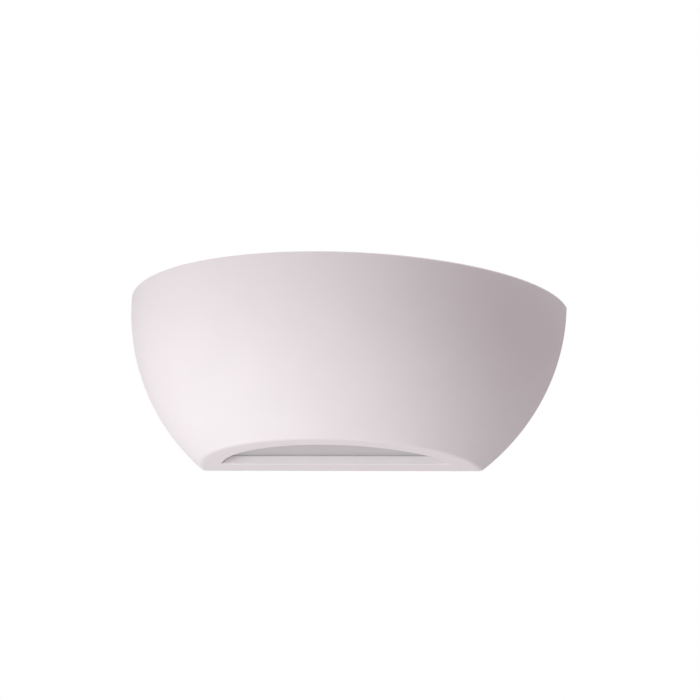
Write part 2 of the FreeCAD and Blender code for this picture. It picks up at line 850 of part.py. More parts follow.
def terminal_block():
    """Moulded block: a base, a pair of screw wells for each pole, and webs with fixing holes."""
    half_length = (pole_count - 1) * pole_pitch / 2 + block_end_margin
    web_front = bracket_front - block_screw_web
    low = block_z - block_half_height
    high = block_z + block_half_height
    parts = [box(block_x - half_length, block_x + half_length, bracket_front, web_front, low, high)]
    for x in pole_xs():
        front = bracket_front - wire_axis_height - insert_outer_radius - 1.2
        parts.append(box(x - dome_radius, x + dome_radius, bracket_front, front, low, high))
        for z in dome_levels():
            parts.append(rod(dome_radius, V(x, front, z), V(x, bracket_front - dome_top, z)))
    block = fuse(parts)
    for x in pole_xs():
        block = block.cut(rod(insert_outer_radius + fit_gap, V(x, wire_y, low - 1), V(x, wire_y, high + 1)))
        for z in dome_levels():
            well_top = V(x, bracket_front - dome_top - 1, z)
            block = block.cut(rod(terminal_well_radius, V(x, wire_y, z), well_top))
    for x, z in block_screw_places():
        block = block.cut(rod(block_screw_hole_radius, V(x, bracket_front, z), V(x, web_front, z)))
    return block


def terminal_inserts():
    """Brass tube in each pole, tapped for its two screws."""
    low = block_z - block_half_height + insert_inset
    high = block_z + block_half_height - insert_inset
    inserts = []
    for x in pole_xs():
        sleeve = tube(insert_outer_radius, insert_inner_radius, V(x, wire_y, low), V(x, wire_y, high))
        for z in dome_levels():
            hole = rod(terminal_screw_radius + fit_gap, V(x, wire_y, z), V(x, wire_y - 4, z))
            sleeve = sleeve.cut(hole)
        inserts.append(sleeve)
    return Part.makeCompound(inserts)


def terminal_screws():
    """Headless screws with a driver slot, down in the wells."""
    screws = []
    for x in pole_xs():
        for z in dome_levels():
            start = V(x, wire_y - wire_radius - terminal_screw_gap, z)
            end = start + INTO_ROOM * terminal_screw_length
            screw = rod(terminal_screw_radius, start, end)
            slot = box(x - 2, x + 2, end.y, end.y + 1.0, z - 0.3, z + 0.3)
            screws.append(screw.cut(slot))
    return Part.makeCompound(screws)


def terminal_block_screws():
    screws = []
    for x, z in block_screw_places():
        seat = V(x, bracket_front - block_screw_web, z)
        length = block_screw_web + bracket_sheet - fit_gap
        screws.append(
            pan_screw(seat, Y_AXIS, block_screw_radius, length, block_screw_head_radius, block_screw_head)
        )
    return Part.makeCompound(screws)


def earth_lug():
    """Ring lug on the bracket: a flat eye and a barrel that holds the wire."""
    front = bracket_front - lug_sheet
    eye = rod(lug_ring_radius, V(earth_x, bracket_front, earth_z), V(earth_x, front, earth_z))
    barrel_z = earth_z + lug_barrel_start
    tongue = box(
        earth_x - lug_barrel_radius, earth_x + lug_barrel_radius, bracket_front, front, earth_z, barrel_z + 1
    )
    axis = lug_barrel_axis()
    barrel = rod(lug_barrel_radius, axis, axis + Z_AXIS * lug_barrel_length)
    lug = fuse([eye, tongue, barrel])
    hole = bracket_hole(earth_x, earth_z, earth_screw_radius + screw_hole_gap).translated(V(0, -lug_sheet, 0))
    return lug.cut(hole).cut(rod(wire_radius + fit_gap, axis, axis + Z_AXIS * (lug_barrel_length + 1)))


def lug_barrel_axis():
    """Lower end of the barrel's axis. The barrel's back is level with the bracket's face."""
    return V(earth_x, bracket_front - lug_barrel_radius, earth_z + lug_barrel_start)


def earth_washer():
    back = bracket_front - lug_sheet
    front = back - washer_thickness
    hole_radius = earth_screw_radius + screw_hole_gap
    return tube(washer_radius, hole_radius, V(earth_x, back, earth_z), V(earth_x, front, earth_z))


def earth_screw():
    seat = V(earth_x, bracket_front - lug_sheet - washer_thickness, earth_z)
    length = lug_sheet + washer_thickness + bracket_sheet - fit_gap
    return pan_screw(seat, Y_AXIS, earth_screw_radius, length, earth_head_radius, earth_head)


def wire_solid(name, points):
    """Wire along straight runs joined by tangent arcs, as large as the shorter run allows."""
    edges = []
    radii = []
    here = points[0]
    for before, corner, after in zip(points, points[1:], points[2:]):
        inward = corner - before
        outward = after - corner
        turn = inward.getAngle(outward)
        setback = 0.45 * min(inward.Length, outward.Length)
        radii.append(setback / math.tan(turn / 2))
        start = corner - inward.normalize() * setback
        end = corner + outward.normalize() * setback
        bulge = (start + end) * 0.5 - corner
        depth = radii[-1] / math.cos(turn / 2) - radii[-1]
        middle = corner + bulge.normalize() * depth
        edges.append(Part.LineSegment(here, start).toShape())
        edges.append(Part.Arc(start, middle, end).toShape())
        here = end
    edges.append(Part.LineSegment(here, points[-1]).toShape())
    path = Part.Wire(edges)
    section = Part.Wire(Part.makeCircle(wire_radius, points[0], points[1] - points[0]))
    wire = path.makePipeShell([section], True, False)
    expected = math.pi * wire_radius**2 * path.Length
    print(name, "radii", [round(r, 1) for r in radii], "length", round(path.Length, 1),
          "volume ratio", round(wire.Volume / expected, 4))
    return wire


def block_exit(pole):
    """Where a pole's wire starts, inside the top of the terminal block."""
    return V(pole_xs()[pole], wire_y, block_z + block_half_height - wire_into_block)


def block_top(pole, rise):
    return V(pole_xs()[pole], wire_y, block_z + block_half_height + rise)


def holder_wire(name, pole, level, rise, shift, climb):
    """Wire from a pole over the bracket and out to the back of the lampholder."""
    entry_x = holder_back_x + wire_entry_from_back
    over = block_top(pole, rise) + V(-shift, 0, climb)
    points = [
        block_exit(pole),
        block_top(pole, rise),
        over,
        V(entry_x, wire_y, level),
        V(entry_x, holder_side_y(level) - wire_grip, level),
    ]
    return wire_solid(name, points)


def live_wire():
    return holder_wire("live_wire", 0, wire_entry_levels()[0], wire_rise, wire_shift, wire_climb)


def neutral_wire():
    rise = wire_rise + neutral_extra_rise
    shift = wire_shift + neutral_extra_shift
    climb = wire_climb + neutral_extra_climb
    return holder_wire("neutral_wire", 1, wire_entry_levels()[1], rise, shift, climb)


def earth_wire():
    barrel = lug_barrel_axis()
    points = [
        block_exit(2),
        block_top(2, wire_rise),
        V(
            earth_x - earth_wire_shift,
            (wire_y + barrel.y) / 2 - earth_wire_bow,
            block_z + block_half_height + earth_wire_climb,
        ),
        V(earth_x, barrel.y, barrel.z + lug_barrel_length + earth_wire_drop),
        V(earth_x, barrel.y, barrel.z + lug_barrel_length - earth_wire_grip),
    ]
    return wire_solid("earth_wire", points)


def check_solids(name, shape):
    solids = shape.Solids
    bad = [s for s in solids if not s.isValid() or s.Volume <= 0]
    size = shape.BoundBox
    print(f"{name}: {len(solids)} solid(s), {sum(s.Volume for s in solids):.1f} mm3, "
          f"box {size.XLength:.1f} x {size.YLength:.1f} x {size.ZLength:.1f}")
    if not solids or bad:
        raise ValueError(name + " isn't made of valid solids")


PIECES = {
    "plaster_shell": plaster_shell,
    "glass_diffuser": glass_diffuser,
    "diffuser_clips": diffuser_clips,
    "diffuser_clip_screws": diffuser_clip_screws,
    "hanger_plates": hanger_plates,
    "hanger_plate_screws": hanger_plate_screws,
    "wall_bracket": wall_bracket,
    "hanging_studs": hanging_studs,
    "cable_grommet": cable_grommet,
    "lampholder_arm": lampholder_arm,
    "arm_rivets": arm_rivets,
    "lampholder_body": lampholder_body,
    "lampholder_screws": lampholder_screws,
    "lampholder_screw_shell": lampholder_screw_shell,
    "lampholder_contact": lampholder_contact,
    "terminal_block": terminal_block,
    "terminal_inserts": terminal_inserts,
    "terminal_screws": terminal_screws,
    "terminal_block_screws": terminal_block_screws,
    "earth_screw": earth_screw,
    "earth_washer": earth_washer,
    "earth_lug": earth_lug,
    "live_wire": live_wire,
    "neutral_wire": neutral_wire,
    "earth_wire": earth_wire,
    "lamp_tip_contact": lamp_tip_contact,
    "lamp_insulator": lamp_insulator,
    "lamp_cap": lamp_cap,
    "lamp_housing": lamp_housing,
    "lamp_globe": lamp_globe,
}

os.makedirs("parts", exist_ok=True)
for node, make in PIECES.items():
    piece = make()
    check_solids(node, piece)
    piece.exportStep(f"parts/{node}.step")
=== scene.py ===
"""Plaster half-bowl uplighter for a wall: the look of every piece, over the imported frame."""
import json
import math

import bmesh
import bpy
from mathutils import Matrix, Vector


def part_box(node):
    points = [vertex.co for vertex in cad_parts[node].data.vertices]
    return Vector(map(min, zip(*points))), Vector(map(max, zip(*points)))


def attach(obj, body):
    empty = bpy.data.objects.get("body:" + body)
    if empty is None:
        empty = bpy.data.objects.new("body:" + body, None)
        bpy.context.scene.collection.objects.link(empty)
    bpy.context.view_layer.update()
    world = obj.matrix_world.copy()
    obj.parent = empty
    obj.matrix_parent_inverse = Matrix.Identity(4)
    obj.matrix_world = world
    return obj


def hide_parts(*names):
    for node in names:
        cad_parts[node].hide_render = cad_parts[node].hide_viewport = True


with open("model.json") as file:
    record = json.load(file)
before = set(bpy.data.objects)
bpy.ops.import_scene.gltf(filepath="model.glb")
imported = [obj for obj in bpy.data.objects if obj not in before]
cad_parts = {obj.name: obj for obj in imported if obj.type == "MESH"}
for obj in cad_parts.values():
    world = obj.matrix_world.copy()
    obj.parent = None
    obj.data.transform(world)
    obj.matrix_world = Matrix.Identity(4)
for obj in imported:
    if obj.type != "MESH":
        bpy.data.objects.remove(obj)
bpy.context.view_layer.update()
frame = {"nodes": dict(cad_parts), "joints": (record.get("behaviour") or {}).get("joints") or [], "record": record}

bl_info = {
    "name": "Plaster wall uplighter",
    "version": (1, 0, 0),
    "blender": (4, 5, 0),
    "location": "3D View > Sidebar > Uplighter",
    "description": "Builds the pieces and finishes of a plaster half-bowl wall uplighter",
    "category": "Object",
}

MM = 0.001
BODY_OF = {node: body for body, nodes in frame["record"]["behaviour"]["bodies"].items() for node in nodes}
SLOTS = {node: piece.material_slots[0].material.name for node, piece in frame["nodes"].items()}
JOINTS = {joint["name"]: joint for joint in frame["joints"]}
LAMP_AXIS = Vector(JOINTS["lamp_turn"]["pos_m"])
INTO_ROOM = Vector((0, -1, 0))
TO_WALL = Vector((0, 1, 0))
ALONG_LAMP = Vector((1, 0, 0))
DOWN = Vector((0, 0, -1))
WELD = 0.002 * MM  # points of a CAD node that are nearer than this are one point
OVER = 1.0 * MM  # how far a cutting tool stands out of what it cuts
ROUND = math.sqrt(0.5)  # weight that makes a square corner's curve a circle's arc


# ---- sizes and colours that a user would change ----
def length(name, description, millimetres):
    return bpy.props.FloatProperty(
        name=name,
        description=description,
        default=millimetres * MM,
        min=0.0,
        precision=5,
        unit="LENGTH",
        subtype="DISTANCE",
    )


def count(name, description, default):
    return bpy.props.IntProperty(name=name, description=description, default=default, min=1)


def colour(name, description, red, green, blue):
    return bpy.props.FloatVectorProperty(
        name=name,
        description=description,
        default=(red, green, blue),
        min=0.0,
        max=1.0,
        subtype="COLOR",
    )


class ShellSizes(bpy.types.PropertyGroup):
    """Sizes of the cast plaster bowl."""

    semi_height: length("Semi height", "Half height of the ellipsoid that the bowl is cut from", 145)
    widest_below_rim: length("Widest below rim", "Level of the ellipsoid's centre, below the rim", 4)
    wall: length("Wall", "Thickness of the bowl's wall", 9)
    floor: length("Floor", "Thickness of the plaster round the aperture", 6)
    wall_gap: length("Wall gap", "From the shell's back edge to the wall plane", 0.3)
    bottom_leg: length("Bottom round", "Rise of the rounding along the outer bottom edge", 1.2)
    rim_outer_round: length("Outer rim round", "Radius of the rim's outer edge", 1.5)
    rim_inner_round: length("Inner rim round", "Radius of the rim's inner edge", 3)
    aperture_half_width: length("Aperture half width", "Half the width of the light aperture", 82)
    aperture_projection: length("Aperture projection", "Reach of the aperture from the wall", 73)
    back_bar: length("Back bar", "Depth of the bar behind the aperture", 19)
    aperture_round: length("Aperture edge round", "Radius of the aperture's edges", 0.5)
    boss_inner_x: length("Boss inner side", "From the middle to a hanging boss's inner side", 84.66)
    boss_low: length("Boss foot", "How far a hanging boss reaches below the origin", 29)
    boss_high: length("Boss top", "How far a hanging boss reaches above the origin", 19)
    boss_back: length("Boss back", "From the wall plane to a boss's back face", 3.8)
    boss_depth: length("Boss depth", "How far a boss stands into the bowl", 14)
    boss_round: length("Boss round", "Radius of a boss's front edges", 3)
    pocket_radius: length("Pocket radius", "Half width of the pocket for a stud's head", 5.7)
    pocket_depth: length("Pocket depth", "Depth of that pocket", 4.5)
    unevenness: length("Unevenness", "How far the hand-cast surface wanders", 0.05)
    turn_steps: count("Turn steps", "Divisions round the bowl", 160)
    level_steps: count("Level steps", "Divisions up the bowl's wall", 44)


class LampSizes(bpy.types.PropertyGroup):
    """Sizes of the lampholder and the lamp."""

    thread_pitch: length("Thread pitch", "Pitch of the lamp's rolled thread", 3.629)
    thread_depth: length("Thread depth", "Half the depth of the rolled thread", 0.42)
    cap_mean: length("Cap mean radius", "Mean radius of the lamp cap's thread", 12.72)
    cap_wall: length("Cap wall", "Sheet thickness of the lamp cap", 0.35)
    shell_mean: length("Screw shell mean radius", "Mean inner radius of the holder's thread", 13.13)
    shell_wall: length("Screw shell wall", "Sheet thickness of the holder's screw shell", 0.4)
    holder_bore: length("Holder bore", "Radius of the porcelain's bore", 15)
    holder_floor: length("Holder floor", "Thickness of the porcelain behind the bore", 9)
    holder_shoulder: length("Shoulder length", "Length of the porcelain's wide back end", 14)
    holder_step: length("Shoulder step", "How much wider the back end is than the skirt", 1)
    holder_round: length("Porcelain round", "Radius of the porcelain's edges", 1.4)
    neck_radius: length("Neck radius", "Radius of the lamp housing's neck", 13.6)
    neck_length: length("Neck length", "Straight part of the lamp housing", 7)
    globe_wall: length("Globe wall", "Thickness of the opal globe", 1.5)
    turn_steps: count("Turn steps", "Divisions round a turned piece", 96)


class EdgeSizes(bpy.types.PropertyGroup):
    """Roundings of the sheet metal, glass and moulded pieces."""

    sheet: length("Sheet edges", "Rounding of the pressed steel's edges", 0.15)
    glass: length("Glass edges", "Ground edge of the glass", 0.4)
    brass: length("Brass edges", "Rounding of small brass pieces", 0.08)
    moulding: length("Moulded edges", "Rounding of the terminal block's edges", 0.25)


class FinishColours(bpy.types.PropertyGroup):
    """Base colours of the finishes."""

    plaster: colour("Plaster", "Painted plaster", 0.812, 0.80, 0.802)
    raw_plaster: colour("Raw plaster", "Unpainted back of the casting", 0.74, 0.715, 0.665)
    glass: colour("Glass", "Satin glass", 0.64, 0.64, 0.64)
    zinc: colour("Zinc", "Zinc-plated sheet", 0.62, 0.63, 0.64)
    screw: colour("Screws", "Plated screws and studs", 0.68, 0.68, 0.66)
    spring: colour("Spring steel", "Clips and washers", 0.52, 0.53, 0.55)
    rubber: colour("Rubber", "Cable grommet", 0.03, 0.03, 0.033)
    porcelain: colour("Porcelain", "Glazed lampholder", 0.83, 0.81, 0.755)
    nickel: colour("Nickelled brass", "Holder's screw shell", 0.72, 0.68, 0.58)
    brass: colour("Brass", "Terminals and contact", 0.72, 0.52, 0.24)
    terminal: colour("Terminal plastic", "Terminal block", 0.80, 0.80, 0.77)
    tinned: colour("Tinned copper", "Earth lug", 0.70, 0.67, 0.63)
    brown: colour("Brown sleeve", "Live wire", 0.16, 0.065, 0.03)
    blue: colour("Blue sleeve", "Neutral wire", 0.03, 0.12, 0.40)
    earth_green: colour("Green sleeve", "Earth wire's green", 0.06, 0.30, 0.06)
    earth_yellow: colour("Yellow sleeve", "Earth wire's yellow", 0.80, 0.62, 0.05)
    solder: colour("Solder", "Lamp's tip contact", 0.60, 0.60, 0.60)
    black_glass: colour("Black glass", "Lamp's insulator", 0.012, 0.012, 0.014)
    cap: colour("Cap metal", "Lamp's screw cap", 0.74, 0.74, 0.73)
    housing: colour("Lamp plastic", "Lamp's housing", 0.80, 0.80, 0.79)
    opal: colour("Opal", "Lamp's globe", 0.86, 0.86, 0.84)
    floor: colour("Floor", "Studio floor", 0.86, 0.86, 0.86)


class UplighterSettings(bpy.types.PropertyGroup):
    """Everything that the panel shows."""

    shell: bpy.props.PointerProperty(type=ShellSizes, name="Shell", description="The plaster bowl")
    lamp: bpy.props.PointerProperty(type=LampSizes, name="Lamp", description="Lampholder and lamp")
    edges: bpy.props.PointerProperty(type=EdgeSizes, name="Edges", description="Small roundings")
    colours: bpy.props.PointerProperty(type=FinishColours, name="Colours", description="Base colours")


def settings():
    return bpy.context.scene.uplighter


# ---- node trees ----
def put(tree, kind, inputs=None, **fields):
    """Add a node. inputs maps an input's name or index to a value or to another node's output."""
    node = tree.nodes.new(kind)
    for field, value in fields.items():
        setattr(node, field, value)
    for key, value in (inputs or {}).items():
        if isinstance(value, bpy.types.NodeSocket):
            tree.links.new(value, node.inputs[key])
        else:
            node.inputs[key].default_value = value
    return node


def calc(tree, operation, *values):
    return put(tree, "ShaderNodeMath", dict(enumerate(values)), operation=operation).outputs[0]


def new_geometry_tree(name, inputs):
    """Geometry Nodes tree with a mesh input and the named ones. Returns it and its input sockets."""
    tree = bpy.data.node_groups.new(name, "GeometryNodeTree")
    tree.interface.new_socket("Mesh", in_out="INPUT", socket_type="NodeSocketGeometry")
    for label, kind in inputs.items():
        tree.interface.new_socket(label, in_out="INPUT", socket_type=kind)
    tree.interface.new_socket("Mesh", in_out="OUTPUT", socket_type="NodeSocketGeometry")
    return tree, tree.nodes.new("NodeGroupInput").outputs


def finish_tree(tree, geometry, material):
    """Every tree ends alike: real geometry with its material."""
    real = put(tree, "GeometryNodeRealizeInstances", {"Geometry": geometry})
    clad = put(tree, "GeometryNodeSetMaterial", {"Geometry": real.outputs[0], "Material": material})
    put(tree, "NodeGroupOutput", {"Mesh": clad.outputs[0]})


def grow(name, mesh, tree, values):
    """Run a Geometry Nodes tree on a mesh and keep the result as a plain object."""
    piece = add_object(name, mesh)
    modifier = piece.modifiers.new("Grow", "NODES")
    modifier.node_group = tree
    sockets = {item.name: item.identifier for item in tree.interface.items_tree if item.in_out == "INPUT"}
    for label, value in values.items():
        modifier[sockets[label]] = value
    return settle(piece)


# ---- meshes ----
def add_object(name, mesh):
    piece = bpy.data.objects.new(name, mesh)
    bpy.context.scene.collection.objects.link(piece)
    return piece


def settle(piece):
    """Swap an object's mesh for its evaluated one, and drop its modifiers."""
    depsgraph = bpy.context.evaluated_depsgraph_get()
    evaluated = piece.evaluated_get(depsgraph)
    mesh = bpy.data.meshes.new_from_object(evaluated, preserve_all_data_layers=True, depsgraph=depsgraph)
    piece.modifiers.clear()
    piece.data = mesh
    mesh.name = piece.name
    return piece


def mesh_from(name, bm):
    mesh = bpy.data.meshes.new(name)
    bm.to_mesh(mesh)
    bm.free()
    return mesh


def smooth_by_angle(piece, degrees=30.0):
    """Smooth faces, with hard edges past an angle and flat faces kept flat beside roundings."""
    piece.data.shade_smooth()
    piece.data.set_sharp_from_angle(angle=math.radians(degrees))
    modifier = piece.modifiers.new("Flat faces", "WEIGHTED_NORMAL")
    modifier.keep_sharp = True
    return settle(piece)


def combine(piece, tool, operation):
    """Exact boolean with a tool that isn't kept."""
    modifier = piece.modifiers.new("Combine", "BOOLEAN")
    modifier.operation = operation
    modifier.solver = "EXACT"
    modifier.object = tool
    settle(piece)
    bpy.data.objects.remove(tool)
    return piece


def block(name, low, high):
    """Box between two corners, as a scratch object."""
    bm = bmesh.new()
    bmesh.ops.create_cube(bm, size=1.0)
    low, high = Vector(low), Vector(high)
    for vertex in bm.verts:
        vertex.co = Vector((low[i] + (vertex.co[i] + 0.5) * (high[i] - low[i]) for i in range(3)))
    return add_object(name, mesh_from(name, bm))


def rod(name, start, end, radius):
    """Cylinder from one point to another, as a scratch object."""
    sides = 32
    along = end - start
    bm = bmesh.new()
    place = Matrix.Translation((start + end) / 2) @ along.to_track_quat("Z", "Y").to_matrix().to_4x4()
    bmesh.ops.create_cone(
        bm, cap_ends=True, segments=sides, radius1=radius, radius2=radius, depth=along.length, matrix=place
    )
    return add_object(name, mesh_from(name, bm))


def welded(node):
    """Copy of a CAD node's loose triangles, joined into one mesh."""
    bm = bmesh.new()
    bm.from_mesh(frame["nodes"][node].data)
    bmesh.ops.remove_doubles(bm, verts=bm.verts, dist=WELD)
    return bm


def dressed_copy(node, edge):
    """Copy of a CAD node with clean flat faces and softly rounded edges."""
    flat, sharp = math.radians(0.5), math.radians(35)
    bm = welded(node)
    bmesh.ops.dissolve_limit(bm, angle_limit=flat, verts=bm.verts, edges=bm.edges)
    piece = add_object(node + "_dressed", mesh_from(node, bm))
    bevel = piece.modifiers.new("Edges", "BEVEL")
    bevel.width = edge
    bevel.segments = 2
    bevel.limit_method = "ANGLE"
    bevel.angle_limit = sharp
    bevel.use_clamp_overlap = True
    return smooth_by_angle(settle(piece))


def islands(node):
    """Middle, low and high corner of each loose part of a CAD node, in order of x, then z."""
    bm = welded(node)
    left = set(bm.verts)
    boxes = []
    while left:
        group = {left.pop()}
        front = list(group)
        while front:
            vertex = front.pop()
            for edge in vertex.link_edges:
                other = edge.other_vert(vertex)
                if other in left:
                    left.remove(other)
                    group.add(other)
                    front.append(other)
        low = Vector([min(v.co[i] for v in group) for i in range(3)])
        high = Vector([max(v.co[i] for v in group) for i in range(3)])
        boxes.append(((low + high) / 2, low, high))
    bm.free()
    return sorted(boxes, key=lambda found: (round(found[0].x, 4), round(found[0].z, 4)))


def rounded(corners, steps=5):
    """Outline with round corners. Each corner is (x, y, reach of the round, weight of its curve)."""
    points = []
    total = len(corners)
    for i, (x, y, reach, weight) in enumerate(corners):
        here = Vector((x, y))
        if reach == 0:
            points.append(here)
            continue
        before = Vector(corners[i - 1][:2])
        after = Vector(corners[(i + 1) % total][:2])
        start = here + (before - here).normalized() * reach
        end = here + (after - here).normalized() * reach
        for step in range(steps + 1):
            share = step / steps
            ends = start * (1 - share) ** 2 + end * share**2
            middle = 2 * share * (1 - share) * weight
            points.append((ends + here * middle) / ((1 - share) ** 2 + share**2 + middle))
    return points


def hide_behind(piece, *nodes):
    """The piece stands for these CAD nodes, rides on their body and takes their finish."""
    material = finish_of(nodes[0])
    if not piece.data.materials:
        piece.data.materials.append(material)
    for index in range(len(piece.data.materials)):
        if piece.data.materials[index] is None:
            piece.data.materials[index] = material
    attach(piece, BODY_OF[nodes[0]])
    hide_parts(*nodes)
    return piece


def dress(node, edge):
    """A CAD node's shape, with rounded edges and its finish."""
    return hide_behind(dressed_copy(node, edge), node)


# ---- turned pieces ----
def turned_tree():
    """Wraps an unrolled outline round the X axis, with a rolled thread where its weight says.

    A point of the mesh holds its place along the axis, its radius and its share of a full turn.
    """
    name = "Turned piece"
    if name in bpy.data.node_groups:
        return bpy.data.node_groups[name]
    inputs = {
        "Thread Pitch": "NodeSocketFloat",
        "Thread Depth": "NodeSocketFloat",
        "Material": "NodeSocketMaterial",
    }
    tree, given = new_geometry_tree(name, inputs)
    place = put(tree, "GeometryNodeInputPosition").outputs[0]
    parts = put(tree, "ShaderNodeSeparateXYZ", {0: place}).outputs
    angle = calc(tree, "MULTIPLY", parts["Z"], math.tau)
    helix = calc(tree, "DIVIDE", parts["X"], given["Thread Pitch"])
    phase = calc(tree, "SUBTRACT", calc(tree, "MULTIPLY", helix, math.tau), angle)
    weight = put(tree, "GeometryNodeInputNamedAttribute", {"Name": "thread"}, data_type="FLOAT").outputs[0]
    ridge = calc(tree, "MULTIPLY", calc(tree, "COSINE", phase), given["Thread Depth"])
    radius = calc(tree, "MULTIPLY_ADD", ridge, weight, parts["Y"])
    wrapped = put(
        tree,
        "ShaderNodeCombineXYZ",
        {
            "X": parts["X"],
            "Y": calc(tree, "MULTIPLY", radius, calc(tree, "COSINE", angle)),
            "Z": calc(tree, "MULTIPLY", radius, calc(tree, "SINE", angle)),
        },
    )
    moved = put(tree, "GeometryNodeSetPosition", {"Geometry": given["Mesh"], "Position": wrapped.outputs[0]})
    seam = 0.0005 * MM
    closed = put(tree, "GeometryNodeMergeByDistance", {"Geometry": moved.outputs[0], "Distance": seam})
    finish_tree(tree, closed.outputs[0], given["Material"])
    return tree


def unrolled(name, outline, steps, closed, threads=None):
    """Mesh whose points hold (along, radius, share of a turn) of a turned piece."""
    bm = bmesh.new()
    weight = bm.verts.layers.float.new("thread")
    rows = []
    for turn in range(steps + 1):
        row = []
        for i, (along, radius) in enumerate(outline):
            vertex = bm.verts.new((along, radius, turn / steps))
            vertex[weight] = threads[i] if threads else 0.0
            row.append(vertex)
        rows.append(row)
    total = len(outline)
    for here, there in zip(rows, rows[1:]):
        for i in range(total if closed else total - 1):
            j = (i + 1) % total
            bm.faces.new((here[i], there[i], there[j], here[j]))
    return mesh_from(name, bm)


def turn_piece(name, outline, material, closed=False, threads=None, place=None):
    """Turned piece about the X axis, then moved by a matrix. The outline is (along, radius)."""
    lamp = settings().lamp
    values = {
        "Thread Pitch": lamp.thread_pitch,
        "Thread Depth": lamp.thread_depth,
        "Material": material,
    }
    mesh = unrolled(name, outline, lamp.turn_steps, closed, threads)
    piece = grow(name, mesh, turned_tree(), values)
    bm = bmesh.new()
    bm.from_mesh(piece.data)
    bmesh.ops.dissolve_degenerate(bm, dist=0.0001 * MM, edges=bm.edges)
    bmesh.ops.recalc_face_normals(bm, faces=bm.faces)
    bm.to_mesh(piece.data)
    bm.free()
    piece.data.transform(place or Matrix.Translation((0, LAMP_AXIS.y, LAMP_AXIS.z)))
    return smooth_by_angle(piece)


def turned_off_wall(x, z):
    """Matrix for a piece turned about a line out of the wall: its X axis points into the room."""
    return Matrix.Translation((x, 0, z)) @ ALONG_LAMP.rotation_difference(INTO_ROOM).to_matrix().to_4x4()


# ---- fasteners ----
def fastener_tree():
    """Puts a pattern screw on every point, heading one way, each at its own seeded turn."""
    name = "Fasteners"
    if name in bpy.data.node_groups:
        return bpy.data.node_groups[name]
    inputs = {
        "Pattern": "NodeSocketObject",
        "Heading": "NodeSocketVector",
        "Seed": "NodeSocketInt",
        "Material": "NodeSocketMaterial",
    }
    tree, given = new_geometry_tree(name, inputs)
    pattern = put(tree, "GeometryNodeObjectInfo", {"Object": given["Pattern"]}).outputs["Geometry"]
    heading = put(tree, "FunctionNodeEulerToRotation", {0: given["Heading"]}).outputs[0]
    placed = put(
        tree,
        "GeometryNodeInstanceOnPoints",
        {"Points": given["Mesh"], "Instance": pattern, "Rotation": heading},
    )
    spin = put(
        tree, "FunctionNodeRandomValue", {"Min": (0, 0, 0), "Max": (0, 0, math.tau), "Seed": given["Seed"]},
        data_type="FLOAT_VECTOR",
    )
    turn = put(tree, "FunctionNodeEulerToRotation", {0: spin.outputs[0]}).outputs[0]
    turned = put(tree, "GeometryNodeRotateInstances", {"Instances": placed.outputs[0], "Rotation": turn})
    finish_tree(tree, turned.outputs[0], given["Material"])
    return tree


def lathe_pattern(name, outline, steps=40):
    """Screw blank turned about Z, from (radius, height) points that start and end on the axis."""
    bm = bmesh.new()
    points = [bm.verts.new((radius, 0, height)) for radius, height in outline]
    edges = [bm.edges.new(pair) for pair in zip(points, points[1:])]
    bmesh.ops.spin(
        bm,
        geom=points + edges,
        cent=(0, 0, 0),
        axis=(0, 0, 1),
        angle=math.tau,
        steps=steps,
        use_duplicate=False,
    )
    bmesh.ops.remove_doubles(bm, verts=bm.verts, dist=0.001 * MM)
    bmesh.ops.recalc_face_normals(bm, faces=bm.faces)
    return add_object(name, mesh_from(name, bm))


def cross_recess(piece, top, reach, depth):
    """Tapered cross in a screw's head."""
    half_width = reach * 0.2
    taper = 0.45
    for angle in (0, math.pi / 2):
        arm = block("recess", (-reach, -half_width, top - depth), (reach, half_width, top + depth))
        for vertex in arm.data.vertices:
            if vertex.co.z < top:
                vertex.co.x *= taper
        arm.data.transform(Matrix.Rotation(angle, 4, "Z"))
        combine(piece, arm, "DIFFERENCE")
    return piece


def straight_slot(piece, top, reach, width, depth):
    """Driver slot across a screw's top."""
    cutter = block("slot", (-reach, -width / 2, top - depth), (reach, width / 2, top + depth))
    return combine(piece, cutter, "DIFFERENCE")


def pan_screw(shank_radius, length, head_radius, head_height, recess=True):
    """Domed screw with its seat at height 0 and its shank below. Without a recess it is a rivet."""
    side = 0.35  # share of the head's height below its dome
    steps = 8
    crown = []
    for step in range(steps, 0, -1):
        lean = math.pi / 2 * step / steps
        crown.append((head_radius * math.sin(lean), head_height * (side + (1 - side) * math.cos(lean))))
    tip = min(shank_radius * 0.4, 0.4 * MM)
    outline = [(0, -length), (shank_radius - tip, -length), (shank_radius, tip - length), (shank_radius, 0)]
    outline += [(head_radius * 0.97, 0), (head_radius, head_height * 0.08)]
    outline += crown + [(0, head_height)]
    piece = lathe_pattern("pan_screw", outline)
    if recess:
        cross_recess(piece, top=head_height, reach=head_radius * 0.62, depth=head_height * 0.62)
    return smooth_by_angle(piece)


def flat_screw(shank_radius, length, head_radius, head_height):
    """Countersunk screw whose flat head is level with height 0."""
    side, break_depth, break_width = 0.1 * MM, 0.03 * MM, 0.06 * MM
    outline = [(0, -length), (shank_radius * 0.7, -length), (shank_radius, -length + shank_radius * 0.5)]
    outline += [(shank_radius, -head_height), (head_radius, -side), (head_radius, -break_depth)]
    outline += [(head_radius - break_width, 0), (0, 0)]
    piece = lathe_pattern("flat_screw", outline)
    cross_recess(piece, top=0, reach=head_radius * 0.6, depth=head_height * 0.8)
    return smooth_by_angle(piece)


